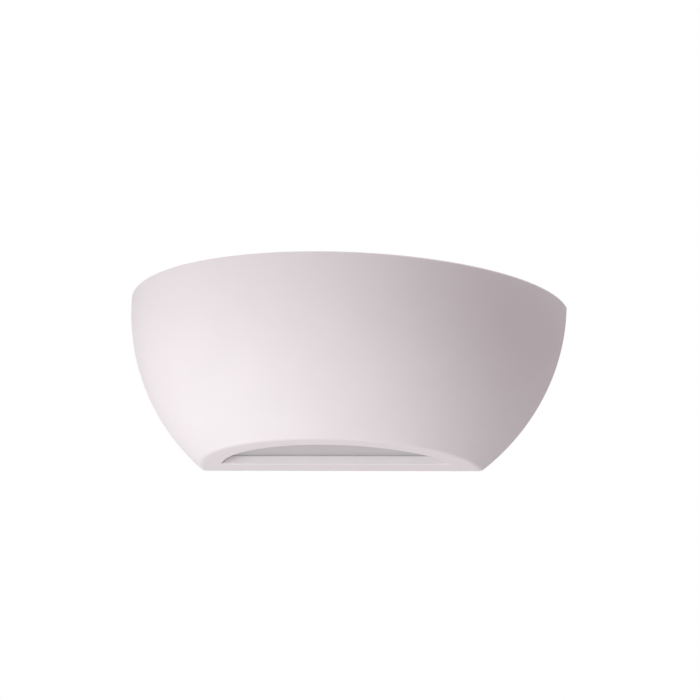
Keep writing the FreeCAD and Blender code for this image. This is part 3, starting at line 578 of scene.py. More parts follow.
def slotted_grub(radius, length, slot_width, slot_depth):
    """Headless screw with a driver slot in its top, at height 0."""
    edge = 0.2 * MM
    outline = [(0, -length), (radius - edge * 2, -length), (radius, edge * 2 - length)]
    outline += [(radius, -edge), (radius - edge, 0), (0, 0)]
    piece = lathe_pattern("slotted_grub", outline, steps=28)
    straight_slot(piece, top=0, reach=radius * 1.5, width=slot_width, depth=slot_depth)
    return smooth_by_angle(piece)


def fasten(node, pattern, into, seats, seed):
    """A group of like fasteners: the pattern on every seat, with its shank pointing along into."""
    bm = bmesh.new()
    for seat in seats:
        bm.verts.new(seat)
    heading = (-into).to_track_quat("Z", "Y").to_euler()
    values = {
        "Pattern": pattern,
        "Heading": tuple(heading),
        "Seed": seed,
        "Material": finish_of(node),
    }
    piece = grow(node + "_made", mesh_from(node, bm), fastener_tree(), values)
    bpy.data.objects.remove(pattern)
    return hide_behind(piece, node)


def seats_of(node, into, from_start):
    """Seat of each fastener of a node: on its axis, from_start behind its head's outer end."""
    axis = max(range(3), key=lambda i: abs(into[i]))
    seats = []
    for middle, low, high in islands(node):
        seat = middle.copy()
        start = low[axis] if into[axis] > 0 else high[axis]
        seat[axis] = start + into[axis] * from_start
        seats.append(seat)
    return seats


def fit_screws(node, into, seed, shank, length, head, height, recess=True):
    """Pan-headed screws or rivets on a node's seats. Radii and lengths are in millimetres."""
    pattern = pan_screw(shank * MM, length * MM, head * MM, height * MM, recess)
    return fasten(node, pattern, into, seats_of(node, into, height * MM), seed)


# ---- the plaster shell ----
def wrap_tree():
    """Wraps the unrolled wall round the bowl: each point holds its turn, inset and level."""
    inputs = {
        "Half Width": "NodeSocketFloat",
        "Projection": "NodeSocketFloat",
        "Semi Height": "NodeSocketFloat",
        "Centre Level": "NodeSocketFloat",
        "Wall Gap": "NodeSocketFloat",
        "Unevenness": "NodeSocketFloat",
        "Material": "NodeSocketMaterial",
    }
    tree, given = new_geometry_tree("Wrapped bowl", inputs)
    parts = put(tree, "ShaderNodeSeparateXYZ", {0: put(tree, "GeometryNodeInputPosition").outputs[0]}).outputs
    turn, inset, level = parts["X"], parts["Y"], parts["Z"]
    drop = calc(tree, "SUBTRACT", level, given["Centre Level"])
    share = calc(tree, "DIVIDE", drop, calc(tree, "SUBTRACT", given["Semi Height"], inset))
    narrowing = calc(tree, "SQRT", calc(tree, "SUBTRACT", 1.0, calc(tree, "MULTIPLY", share, share)))
    width = calc(tree, "MULTIPLY", calc(tree, "SUBTRACT", given["Half Width"], inset), narrowing)
    reach = calc(tree, "MULTIPLY", calc(tree, "SUBTRACT", given["Projection"], inset), narrowing)
    angle = calc(tree, "MULTIPLY", turn, math.pi)
    free_reach = calc(tree, "SUBTRACT", reach, given["Wall Gap"])
    out = calc(tree, "MULTIPLY_ADD", free_reach, calc(tree, "SINE", angle), given["Wall Gap"])
    across = calc(tree, "MULTIPLY", width, calc(tree, "COSINE", angle))
    back = calc(tree, "MULTIPLY", out, -1.0)
    wrapped = put(tree, "ShaderNodeCombineXYZ", {"X": across, "Y": back, "Z": level})
    moved = put(tree, "GeometryNodeSetPosition", {"Geometry": given["Mesh"], "Position": wrapped.outputs[0]})
    lumps = 24.0  # in a metre, so each is about 40 mm across
    wander = put(tree, "ShaderNodeTexNoise", {"Scale": lumps, "Detail": 2.0, "Roughness": 0.45})
    centred = calc(tree, "MULTIPLY", calc(tree, "SUBTRACT", wander.outputs[0], 0.5), given["Unevenness"])
    lean = put(tree, "GeometryNodeInputNormal").outputs[0]
    offset = put(tree, "ShaderNodeVectorMath", {0: lean, "Scale": centred}, operation="SCALE").outputs[0]
    faded = put(tree, "GeometryNodeInputNamedAttribute", {"Name": "free"}, data_type="FLOAT").outputs[0]
    drift = put(tree, "ShaderNodeVectorMath", {0: offset, "Scale": faded}, operation="SCALE").outputs[0]
    uneven = put(tree, "GeometryNodeSetPosition", {"Geometry": moved.outputs[0], "Offset": drift})
    finish_tree(tree, uneven.outputs[0], given["Material"])
    return tree


def shell_levels():
    """Heights of the rim, the bottom and the ledge, from the frame."""
    low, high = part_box("plaster_shell")
    return high.z, low.z, low.z + settings().shell.floor


def wall_section():
    """The wall's section from the bottom plane, over the rim, to the ledge: (inset, level, free)."""
    shell = settings().shell
    rim, bottom, ledge = shell_levels()
    support = 1.5 * MM  # width of the flat strips that the floor is joined to
    gentle = 0.94  # weight of the bottom corner's curve, which turns by about 40 degrees
    tall = 20 * MM  # a longer stretch is a side of the wall, which follows the bowl's curve
    corners = [
        (support + shell.bottom_leg, bottom, 0, 0),
        (0, bottom, shell.bottom_leg, gentle),
        (0, rim, shell.rim_outer_round, ROUND),
        (shell.wall, rim, shell.rim_inner_round, ROUND),
        (shell.wall, ledge, 0, 0),
        (shell.wall + support, ledge, 0, 0),
    ]
    outline = rounded(corners, steps=7)
    centre = rim - shell.widest_below_rim
    section = []
    for here, there in zip(outline, outline[1:]):
        section.append((here.x, here.y, 0.0))
        if abs(there.y - here.y) > tall:
            semi = shell.semi_height - here.x
            start = math.asin((here.y - centre) / semi)
            end = math.asin((there.y - centre) / semi)
            for step in range(1, shell.level_steps):
                lean = start + (end - start) * step / shell.level_steps
                section.append((here.x, centre + semi * math.sin(lean), 1.0))
    section.append((outline[-1].x, outline[-1].y, 0.0))
    return section


def unrolled_wall(section, steps):
    """Mesh whose points hold (turn, inset, level) of the bowl's wall."""
    fading = 6  # divisions beside the flat back, over which the unevenness fades out
    bm = bmesh.new()
    free = bm.verts.layers.float.new("free")
    rows = []
    for turn in range(steps + 1):
        row = [bm.verts.new((turn / steps, inset, level)) for inset, level, _ in section]
        share = min(turn, steps - turn) / fading
        for vertex, (_, _, wandering) in zip(row, section):
            vertex[free] = wandering * min(share, 1.0)
        rows.append(row)
    for here, there in zip(rows, rows[1:]):
        for i in range(len(section) - 1):
            bm.faces.new((here[i], here[i + 1], there[i + 1], there[i]))
    return mesh_from("wall", bm)


def aperture_ring(bm, widening, level):
    """D-shaped loop of the aperture at a level, wider all round by the widening."""
    steps = 96
    shell = settings().shell
    half_width = shell.aperture_half_width + widening
    projection = shell.aperture_projection + widening
    back = shell.back_bar - widening
    first = math.asin(back / projection)
    ring = []
    for step in range(steps + 1):
        angle = first + (math.pi - 2 * first) * step / steps
        ring.append(bm.verts.new((half_width * math.cos(angle), -projection * math.sin(angle), level)))
    across = 2 * half_width * math.cos(first)
    for step in range(1, steps // 2):
        x = -across / 2 + across * step / (steps // 2)
        ring.append(bm.verts.new((x, -back, level)))
    return ring


def join_rings(bm, lower, upper):
    """Faces between two closed loops with as many points."""
    total = len(lower)
    for i in range(total):
        j = (i + 1) % total
        bm.faces.new((lower[i], lower[j], upper[j], upper[i]))


def fill_between(bm, outer, inner):
    """Flat triangles between a loop of points and a hole in it."""
    edges = []
    for loop in (outer, inner):
        for here, there in zip(loop, loop[1:] + loop[:1]):
            edges.append(bm.edges.get((here, there)) or bm.edges.new((here, there)))
    bmesh.ops.triangle_fill(bm, use_beauty=True, use_dissolve=False, edges=edges)


def close_wall_end(bm, row):
    """Flat triangles across the wall's thickness, from its foot up to the rim."""
    outer, inner = 0, len(row) - 1
    while inner - outer > 1:
        climb = row[outer + 1].co.z <= row[inner - 1].co.z
        apex = row[outer + 1] if climb else row[inner - 1]
        bm.faces.new((row[outer], apex, row[inner]))
        outer, inner = (outer + 1, inner) if climb else (outer, inner - 1)


def close_shell(mesh, section, steps):
    """Floor with its aperture and ledge, and the flat back."""
    shell = settings().shell
    _, bottom, ledge = shell_levels()
    bm = bmesh.new()
    bm.from_mesh(mesh)
    bm.verts.ensure_lookup_table()
    total = len(section)
    rows = [[bm.verts[turn * total + i] for i in range(total)] for turn in range(steps + 1)]
    edge = shell.aperture_round
    steps_of_round = 4
    leans = [math.pi / 2 * step / steps_of_round for step in range(steps_of_round + 1)]
    rounding = [(edge * (1 - math.sin(lean)), edge * (1 - math.cos(lean))) for lean in leans]
    profile = [(2 * edge, bottom)]
    profile += [(widening, bottom + rise) for widening, rise in rounding]
    profile += [(widening, ledge - rise) for widening, rise in reversed(rounding)]
    profile += [(2 * edge, ledge)]
    rings = [aperture_ring(bm, widening, level) for widening, level in profile]
    for lower, upper in zip(rings, rings[1:]):
        join_rings(bm, lower, upper)
    fill_between(bm, [row[0] for row in rows], rings[0])
    fill_between(bm, [row[-1] for row in rows], rings[-1])
    for row in (rows[0], rows[-1]):
        close_wall_end(bm, row)
    bm.faces.new((rows[0][0], rows[0][-1], rows[-1][-1], rows[-1][0]))
    bmesh.ops.recalc_face_normals(bm, faces=bm.faces)
    bm.to_mesh(mesh)
    bm.free()


def half_width_at(inset, level):
    """Half width of the surface that lies inset inside the bowl's outer one."""
    shell = settings().shell
    rim = shell_levels()[0]
    low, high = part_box("plaster_shell")
    drop = (level - rim + shell.widest_below_rim) / (shell.semi_height - inset)
    return ((high.x - low.x) / 2 - inset) * math.sqrt(1 - drop * drop)


def prism(outline, back, front):
    """Mesh with an outline of (x, z) points, between two planes. Returns it and its two loops."""
    bm = bmesh.new()
    loops = [[bm.verts.new((x, y, z)) for x, z in outline] for y in (back, front)]
    bm.faces.new(loops[0])
    bm.faces.new(loops[1])
    join_rings(bm, loops[0], loops[1])
    return bm, loops


def boss_block(side):
    """Thick plaster at an inner back corner: its outer side lies inside the bowl's wall."""
    shell = settings().shell
    inner, low, high = shell.boss_inner_x, -shell.boss_low, shell.boss_high
    outer_low, outer_high = (half_width_at(shell.wall / 2, level) for level in (low, high))
    outline = [(side * inner, low), (side * outer_low, low), (side * outer_high, high), (side * inner, high)]
    bm, loops = prism(outline, -shell.boss_back, -shell.boss_back - shell.boss_depth)
    edges = [bm.edges.get((loops[1][a], loops[1][b])) for a, b in ((0, 1), (2, 3), (3, 0))]
    edges += [bm.edges.get((loops[0][i], loops[1][i])) for i in (0, 3)]
    bmesh.ops.bevel(bm, geom=edges, offset=shell.boss_round, segments=6, profile=0.5, affect="EDGES")
    bmesh.ops.recalc_face_normals(bm, faces=bm.faces)
    return add_object("boss", mesh_from("boss", bm))


def pocket_block(x, travel):
    """Slot-shaped room behind a keyhole, for the stud's head and its way up."""
    shell = settings().shell
    radius = shell.pocket_radius
    steps = 16
    outline = []
    for centre, start in ((0.0, 0.0), (-travel, math.pi)):
        for step in range(steps + 1):
            angle = start + math.pi * step / steps
            outline.append((x + radius * math.cos(angle), centre + radius * math.sin(angle)))
    bm, _ = prism(outline, OVER - shell.boss_back, -shell.boss_back - shell.pocket_depth)
    bmesh.ops.recalc_face_normals(bm, faces=bm.faces)
    return add_object("pocket", mesh_from("pocket", bm))


def stud_xs():
    """Places of the studs across the wall."""
    return [middle.x for middle, _, _ in islands("hanging_studs")]


def build_shell():
    """The wall wrapped round the bowl, its floor and back, and the two hanging bosses."""
    shell = settings().shell
    low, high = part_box("plaster_shell")
    section = wall_section()
    wall = unrolled_wall(section, shell.turn_steps)
    values = {
        "Half Width": (high.x - low.x) / 2,
        "Projection": -low.y,
        "Semi Height": shell.semi_height,
        "Centre Level": high.z - shell.widest_below_rim,
        "Wall Gap": shell.wall_gap,
        "Unevenness": shell.unevenness,
        "Material": finish_of("plaster_shell"),
    }
    piece = grow("plaster_bowl", wall, wrap_tree(), values)
    close_shell(piece.data, section, shell.turn_steps)
    travel = JOINTS["shell_lift"]["range_m"][1]
    for x in stud_xs():
        combine(piece, boss_block(1 if x > 0 else -1), "UNION")
        combine(piece, pocket_block(x, travel), "DIFFERENCE")
    smooth_by_angle(piece, 28.0)
    return hide_behind(piece, "plaster_shell")


# ---- glass and clips ----
def build_glass():
    return dress("glass_diffuser", settings().edges.glass)


def build_glass_clips():
    """Sprung clips that hold the glass down, and their screws."""
    dress("diffuser_clips", settings().edges.sheet)
    return fit_screws("diffuser_clip_screws", DOWN, seed=3, shank=1.5, length=4.8, head=2.9, height=1.8)


# ---- hanging ----
def build_hangers():
    """Keyhole plates in the bowl's back corners, with countersunk screws."""
    dress("hanger_plates", settings().edges.sheet)
    seats = seats_of("hanger_plate_screws", INTO_ROOM, 0.0)
    pattern = flat_screw(shank_radius=1.75 * MM, length=9 * MM, head_radius=3.4 * MM, head_height=1.2 * MM)
    return fasten("hanger_plate_screws", pattern, INTO_ROOM, seats, seed=11)


def build_studs():
    """Shoulder studs: tail in the bracket's ear, collar, neck and head."""
    middle, low, high = islands("hanging_studs")[0]
    back, front = -high.y, -low.y
    ear, shoulder, head_back = 1.5 * MM, 2.0 * MM, front - 2.0 * MM
    tail, collar, neck, head = 2.5 * MM, 3.5 * MM, 2.0 * MM, 4.0 * MM
    corners = [
        (back, 0, 0, 0),
        (back, tail, 0.2 * MM, ROUND),
        (ear, tail, 0, 0),
        (ear, collar, 0, 0),
        (shoulder, collar, 0.15 * MM, ROUND),
        (shoulder, neck, 0.1 * MM, ROUND),
        (head_back, neck, 0, 0),
        (head_back, head, 0.2 * MM, ROUND),
        (front, head, 0.7 * MM, ROUND),
        (front, 0, 0, 0),
    ]
    parts = []
    for x in stud_xs():
        place = turned_off_wall(x, middle.z)
        parts.append(turn_piece("stud", rounded(corners), finish_of("hanging_studs"), place=place))
    return hide_behind(join("studs_made", parts), "hanging_studs")


def join(name, parts):
    """One object from several plain ones."""
    bm = bmesh.new()
    for part in parts:
        bm.from_mesh(part.data)
    piece = add_object(name, mesh_from(name, bm))
    for material in parts[0].data.materials:
        piece.data.materials.append(material)
    for part in parts:
        bpy.data.objects.remove(part)
    return smooth_by_angle(piece)


# ---- wall bracket ----
def build_bracket():
    return dress("wall_bracket", settings().edges.sheet)


def build_grommet():
    """Rubber bush with a rounded flange and a soft nose."""
    low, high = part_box("cable_grommet")
    middle = (low + high) / 2
    back, front = -high.y, -low.y
    sheet, flange = 1.5 * MM, 3.0 * MM
    bore, plug, rim = 4.0 * MM, 7.95 * MM, 10 * MM
    nose_foot, nose_tip = 7.0 * MM, 5.2 * MM
    fine, soft = 0.3 * MM, 0.4 * MM
    corners = [
        (back, bore, fine, ROUND),
        (back, plug, fine, ROUND),
        (sheet, plug, 0, 0),
        (sheet, rim, fine, ROUND),
        (flange, rim, 0.9 * MM, ROUND),
        (flange, nose_foot, 0.25 * MM, ROUND),
        (front, nose_tip, soft, ROUND),
        (front, bore, soft, ROUND),
    ]
    place = turned_off_wall(middle.x, middle.z)
    piece = turn_piece("grommet_made", rounded(corners), finish_of("cable_grommet"), closed=True, place=place)
    return hide_behind(piece, "cable_grommet")


# ---- lampholder ----
def radius_of(node):
    """Radius of a piece that is turned about the lamp's axis, from its box."""
    low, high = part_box(node)
    return (high.z - low.z) / 2


def build_arm():
    """The lampholder's arm, and the rivets that hold it to the bracket."""
    dress("lampholder_arm", settings().edges.sheet)
    return fit_screws(
        "arm_rivets", TO_WALL, seed=5, shank=2.0, length=2.9, head=3.6, height=1.4, recess=False
    )


def build_holder():
    """Glazed porcelain: a wide back end, a slimmer skirt, a blind bore and two wire holes."""
    lamp = settings().lamp
    low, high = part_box("lampholder_body")
    back, front = low.x, high.x
    wide = radius_of("lampholder_body")
    slim = wide - lamp.holder_step
    shoulder = back + lamp.holder_shoulder
    floor = back + lamp.holder_floor
    soft = lamp.holder_round
    blunt = 0.92  # weight of the step's corner, which turns by half a square corner
    corners = [
        (back, 0, 0, 0),
        (back, wide, soft, ROUND),
        (shoulder, wide, soft * 0.6, ROUND),
        (shoulder + lamp.holder_step, slim, soft * 0.5, blunt),
        (front, slim, soft, ROUND),
        (front, lamp.holder_bore, soft, ROUND),
        (floor, lamp.holder_bore, 0.8 * MM, ROUND),
        (floor, 0, 0, 0),
    ]
    piece = turn_piece("porcelain_holder", rounded(corners), finish_of("lampholder_body"))
    entry_x, entry_level = back + 4.5 * MM, 5.0 * MM
    entry_radius, entry_depth = 1.5 * MM, 9 * MM
    for level in (-entry_level, entry_level):
        z = LAMP_AXIS.z + level
        start = Vector((entry_x, LAMP_AXIS.y + wide + OVER, z))
        end = Vector((entry_x, LAMP_AXIS.y + wide - entry_depth, z))
        combine(piece, rod("entry", start, end, entry_radius), "DIFFERENCE")
    return hide_behind(smooth_by_angle(piece), "lampholder_body")


def build_holder_screws():
    """Screws through the arm into the back of the porcelain."""
    return fit_screws("lampholder_screws", ALONG_LAMP, seed=8, shank=2.0, length=7.5, head=3.8, height=2.4)


def threaded_stretch(start, end, radius):
    """Points along a rolled thread, which fades in and out over its first and last turns."""
    spacing, fade = 0.25 * MM, 2.5 * MM
    steps = max(int(abs(end - start) / spacing), 1)
    points, weights = [], []
    for step in range(steps + 1):
        along = start + (end - start) * step / steps
        points.append(Vector((along, radius)))
        weights.append(min(abs(along - start) / fade, abs(along - end) / fade, 1.0))
    return points, weights


def build_screw_shell():
    """The holder's thin rolled shell, with a flange on the porcelain floor."""
    lamp = settings().lamp
    low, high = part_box("lampholder_screw_shell")
    back, front = low.x, high.x
    wall = lamp.shell_wall
    flange = radius_of("lampholder_screw_shell")
    inner = lamp.shell_mean
    hole = inner - 1.2 * MM
    start = back + wall + 0.8 * MM
    inside, inside_weights = threaded_stretch(front, start, inner)
    outside, outside_weights = threaded_stretch(start, front, inner + wall)
    outline = [Vector((back, hole)), Vector((back, flange)), Vector((back + wall, flange))]
    outline += outside + inside + [Vector((back + wall, hole))]
    weights = [0.0] * 3 + outside_weights + inside_weights + [0.0]
    piece = turn_piece(
        "screw_shell_made", outline, finish_of("lampholder_screw_shell"), closed=True, threads=weights
    )
    return hide_behind(piece, "lampholder_screw_shell")


def build_contact():
    return dress("lampholder_contact", settings().edges.brass)


# ---- lamp ----
def build_tip():
    """Soft blob of solder at the lamp's end."""
    low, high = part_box("lamp_tip_contact")
    radius = radius_of("lamp_tip_contact")
    steps = 10
    fullness = 0.6  # below 1, the blob is fuller than an ellipse
    outline = [Vector((low.x, 0))]
    for step in range(1, steps + 1):
        angle = math.pi / 2 * step / steps
        swell = radius * math.sin(angle)
        outline.append(Vector((high.x - (high.x - low.x) * math.cos(angle) ** fullness, swell)))
    outline.append(Vector((high.x, 0)))
    return hide_behind(turn_piece("solder_tip", outline, finish_of("lamp_tip_contact")), "lamp_tip_contact")


def build_insulator():
    """Black glass cone between the tip contact and the cap."""
    low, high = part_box("lamp_insulator")
    wide = radius_of("lamp_insulator")
    narrow = radius_of("lamp_tip_contact") + 0.6 * MM
    corners = [(low.x, 0, 0, 0), (low.x, narrow, 0.4 * MM, 0.9), (high.x, wide, 0, 0), (high.x, 0, 0, 0)]
    piece = turn_piece("glass_insulator", rounded(corners), finish_of("lamp_insulator"))
    return hide_behind(piece, "lamp_insulator")


def build_cap():
    """Rolled screw cap, closed to the insulator and open to the housing."""
    lamp = settings().lamp
    low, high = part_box("lamp_cap")
    mean = lamp.cap_mean
    inside = mean - lamp.cap_wall
    collar = mean + lamp.thread_depth
    narrow = radius_of("lamp_insulator")
    shoulder, floor = low.x + 1.5 * MM, low.x + 2 * MM
    thread_start, thread_end = low.x + 2.6 * MM, high.x - 2.4 * MM
    thread, thread_weights = threaded_stretch(thread_start, thread_end, mean)
    outline = [Vector((low.x, 0)), Vector((low.x, narrow - 0.4 * MM)), Vector((low.x + 0.3 * MM, narrow))]
    outline += [Vector((shoulder, mean - 0.5 * MM))] + thread
    outline += [Vector((thread_end + 0.5 * MM, collar)), Vector((high.x, collar)), Vector((high.x, inside))]
    outline += [Vector((floor, inside - 1.2 * MM)), Vector((floor, 0))]
    weights = [0.0] * 4 + thread_weights + [0.0] * 5
    piece = turn_piece("rolled_cap", outline, finish_of("lamp_cap"), threads=weights)
    return hide_behind(piece, "lamp_cap")


def arc_points(start, middle, end, steps):
    """Points of the circle's arc through three points, without the first."""
    (ax, ay), (bx, by), (cx, cy) = start, middle, end
    four_areas = 2 * (ax * (by - cy) + bx * (cy - ay) + cx * (ay - by))
    a_square, b_square, c_square = ax * ax + ay * ay, bx * bx + by * by, cx * cx + cy * cy
    centre = Vector((
        (a_square * (by - cy) + b_square * (cy - ay) + c_square * (ay - by)) / four_areas,
        (a_square * (cx - bx) + b_square * (ax - cx) + c_square * (bx - ax)) / four_areas,
    ))
    spoke = Vector(start) - centre
    turn = spoke.angle_signed(Vector(end) - centre)
    points = []
    for step in range(1, steps + 1):
        angle = -turn * step / steps
        points.append(centre + Matrix.Rotation(angle, 2) @ spoke)
    return points


def build_housing():
    """Moulded body: a neck in the cap, then a flare up to the globe."""
    lamp = settings().lamp
    cap_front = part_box("lamp_cap")[1].x
    low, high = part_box("lamp_housing")
    wide = radius_of("lamp_housing")
    neck = lamp.neck_radius
    neck_end = cap_front + lamp.neck_length
    plug = lamp.cap_mean - lamp.cap_wall - 0.1 * MM
    swell = 1 * MM  # how far the flare's middle stands out of a straight cone
    edge = 0.5 * MM
    start = (neck_end, neck)
    middle = ((neck_end + high.x) / 2 - swell, (neck + wide) / 2 + swell)
    outline = [Vector((low.x, 0)), Vector((low.x, plug)), Vector((cap_front, plug))]
    outline += [Vector((cap_front, neck - edge)), Vector((cap_front + edge * 0.3, neck - edge * 0.3))]
    outline += [Vector((cap_front + edge, neck)), Vector(start)]
    outline += arc_points(start, middle, (high.x - edge, wide - 0.3 * MM), 40)
    outline += [Vector((high.x, wide - edge * 1.3)), Vector((high.x, 0))]
    return hide_behind(turn_piece("moulded_housing", outline, finish_of("lamp_housing")), "lamp_housing")


def build_globe():
    """Thin opal ball, open where it sits on the housing."""
    lamp = settings().lamp
    low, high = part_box("lamp_globe")
    radius = radius_of("lamp_globe")
    centre = high.x - radius
    steps = 48
    outline = []
    for shell_radius, backwards in ((radius, False), (radius - lamp.globe_wall, True)):
        limit = math.acos((low.x - centre) / shell_radius)
        span = [limit * step / steps for step in range(steps + 1)]
        if not backwards:
            span.reverse()
        for angle in span:
            outline.append(Vector((centre + shell_radius * math.cos(angle), shell_radius * math.sin(angle))))
    return hide_behind(turn_piece("opal_globe", outline, finish_of("lamp_globe"), closed=True), "lamp_globe")


# ---- terminals and earth ----
def build_terminals():
    """Terminal block with its brass inserts, grub screws and fixing screws."""
    edges = settings().edges
    dress("terminal_block", edges.moulding)
    dress("terminal_inserts", edges.brass)
    seats = seats_of("terminal_screws", TO_WALL, 0.0)
    grub = slotted_grub(radius=1.4 * MM, length=8 * MM, slot_width=0.6 * MM, slot_depth=1 * MM)
    fasten("terminal_screws", grub, TO_WALL, seats, seed=21)
    fit_screws("terminal_block_screws", TO_WALL, seed=14, shank=1.25, length=5.45, head=2.3, height=1.8)


def build_earth():
    """Earth lug and washer under their screw."""
    for node in ("earth_lug", "earth_washer"):
        dress(node, settings().edges.brass)
    fit_screws("earth_screw", TO_WALL, seed=17, shank=2.0, length=3.05, head=3.9, height=2.4)


def build_wires():
    """The sleeves keep their CAD shape, which lies along the real route."""
    for node in ("live_wire", "neutral_wire", "earth_wire"):
        for slot in frame["nodes"][node].material_slots:
            slot.material = finish_of(node)


# ---- finishes ----
def finish_of(node):
    """The material of a CAD node's slot, made once."""
    slot = SLOTS[node]
    name = slot + "_finish"
    if name not in bpy.data.materials:
        FINISHES[slot](name)
    return bpy.data.materials[name]


def new_material(name):
    """Material with one Principled shader, and Object coordinates for its patterns."""
    material = bpy.data.materials.new(name)
    material.use_nodes = True
    tree = material.node_tree
    tree.nodes.clear()
    shader = tree.nodes.new("ShaderNodeBsdfPrincipled")
    put(tree, "ShaderNodeOutputMaterial", {"Surface": shader.outputs[0]})
    place = tree.nodes.new("ShaderNodeTexCoord").outputs["Object"]
    return tree, shader, place


def noise(tree, place, millimetres, detail=3.0, roughness=0.55, stretch=None):
    """Noise whose lumps are about some millimetres across."""
    if stretch:
        place = put(tree, "ShaderNodeMapping", {"Vector": place, "Scale": stretch}).outputs[0]
    inputs = {"Vector": place, "Scale": 1.0 / (millimetres * MM), "Detail": detail, "Roughness": roughness}
    return put(tree, "ShaderNodeTexNoise", inputs).outputs[0]


def spread(tree, value, low, high, from_low=0.3, from_high=0.7):
    """Map a noise's middle range onto a range of values."""
    inputs = {"Value": value, "From Min": from_low, "From Max": from_high, "To Min": low, "To Max": high}
    return put(tree, "ShaderNodeMapRange", inputs).outputs[0]


def shades(tree, factor, first, second):
    """Mix of two colours by a factor. Each is a plain colour or another node's output."""
    inputs = {"Factor": factor}
    for index, end in ((6, first), (7, second)):
        inputs[index] = end if isinstance(end, bpy.types.NodeSocket) else (*end, 1.0)
    return put(tree, "ShaderNodeMix", inputs, data_type="RGBA").outputs[2]


def spots(tree, place, apart, edge_in, edge_out):
    """1 in small spots that lie some millimetres apart, and 0 past their soft edges."""
    scale = 1 / (apart * MM)
    cells = put(tree, "ShaderNodeTexVoronoi", {"Vector": place, "Scale": scale}, feature="F1").outputs[0]
    return spread(tree, cells, 1.0, 0.0, edge_in, edge_out)


def tinted(base, amount):
    """A colour made darker or lighter by a factor."""
    return tuple(min(max(value * amount, 0.0), 1.0) for value in base)


def bump(tree, shader, *layers):
    """Stack height layers: each is a height and how many millimetres it stands for."""
    normal = None
    for height, millimetres in layers:
        inputs = {"Height": height, "Distance": millimetres * MM, "Strength": 1.0}
        if normal:
            inputs["Normal"] = normal
        normal = put(tree, "ShaderNodeBump", inputs).outputs[0]
    tree.links.new(normal, shader.inputs["Normal"])


def link(tree, output, shader, name):
    tree.links.new(output, shader.inputs[name])


def plaster_finish(name):
    """Matt white paint on cast plaster: faint mottling, fine grain, a few pinholes and a raw back."""
    tree, shader, place = new_material(name)
    base = settings().colours.plaster
    raw = raw_back(tree, place)
    mottle = spread(tree, noise(tree, place, 34, detail=4), 0.0, 1.0)
    speck = spread(tree, noise(tree, place, 1.6, detail=2), 0.0, 1.0)
    tone = calc(tree, "ADD", calc(tree, "MULTIPLY", mottle, 0.75), calc(tree, "MULTIPLY", speck, 0.25))
    painted = shades(tree, tone, tinted(base, 0.985), tinted(base, 1.012))
    bare = shades(tree, tone, tinted(settings().colours.raw_plaster, 0.93), settings().colours.raw_plaster)
    pit = spots(tree, place, 7, 0.02, 0.045)
    body = shades(tree, raw, painted, bare)
    # The pinholes are painted darker than the paint round them: painted shade in the pits.
    link(tree, shades(tree, pit, body, tinted(base, 0.8)), shader, "Base Color")
    matt = spread(tree, noise(tree, place, 9), 0.72, 0.86)
    link(tree, calc(tree, "MULTIPLY_ADD", raw, 0.1, matt), shader, "Roughness")
    shader.inputs["Specular IOR Level"].default_value = 0.35
    grain = noise(tree, place, 0.7, detail=5, roughness=0.6)
    swell = noise(tree, place, 18, detail=2)
    scraped = noise(tree, place, 2.5, detail=4, stretch=(0.12, 1.0, 1.0))
    hollow = calc(tree, "MULTIPLY", pit, -1.0)
    trowel = calc(tree, "MULTIPLY", scraped, raw)
    bump(tree, shader, (swell, 0.05), (grain, 0.012), (trowel, 0.25), (hollow, 0.12))


def raw_back(tree, place):
    """1 on the flat back that was struck off in the mould and never painted, with a ragged border."""
    wander, border_in, border_out = 3 * MM, -3.4 * MM, -2.6 * MM
    parts = put(tree, "ShaderNodeSeparateXYZ", {0: place}).outputs
    ragged = calc(tree, "MULTIPLY_ADD", noise(tree, place, 3, detail=4), wander, parts["Y"])
    level = spread(tree, ragged, 0.0, 1.0, border_in, border_out)
    facing = put(tree, "ShaderNodeSeparateXYZ", {0: tree.nodes["Texture Coordinate"].outputs["Normal"]})
    flat = spread(tree, facing.outputs["Y"], 0.0, 1.0, 0.8, 0.95)
    return calc(tree, "MULTIPLY", level, flat)


def painted_corner_shade(tree, distance, reach, share):
    """Factor that falls by a share towards an edge: painted shade in the corner."""
    thin = calc(tree, "EXPONENT", calc(tree, "DIVIDE", calc(tree, "MAXIMUM", distance, 0.0), -reach))
    return calc(tree, "SUBTRACT", 1.0, calc(tree, "MULTIPLY", thin, share))


def aperture_distances(tree, place):
    """Distance of a point of the glass from the back bar and from the aperture's curved edge."""
    shell = settings().shell
    parts = put(tree, "ShaderNodeSeparateXYZ", {0: place}).outputs
    from_bar = calc(tree, "SUBTRACT", calc(tree, "MULTIPLY", parts["Y"], -1.0), shell.back_bar)
    across = calc(tree, "DIVIDE", parts["X"], shell.aperture_half_width)
    out = calc(tree, "DIVIDE", parts["Y"], shell.aperture_projection)
    squares = calc(tree, "ADD", calc(tree, "MULTIPLY", across, across), calc(tree, "MULTIPLY", out, out))
    share = calc(tree, "SQRT", squares)
    from_curve = calc(tree, "MULTIPLY", calc(tree, "SUBTRACT", 1.0, share), shell.aperture_projection)
    return from_bar, from_curve


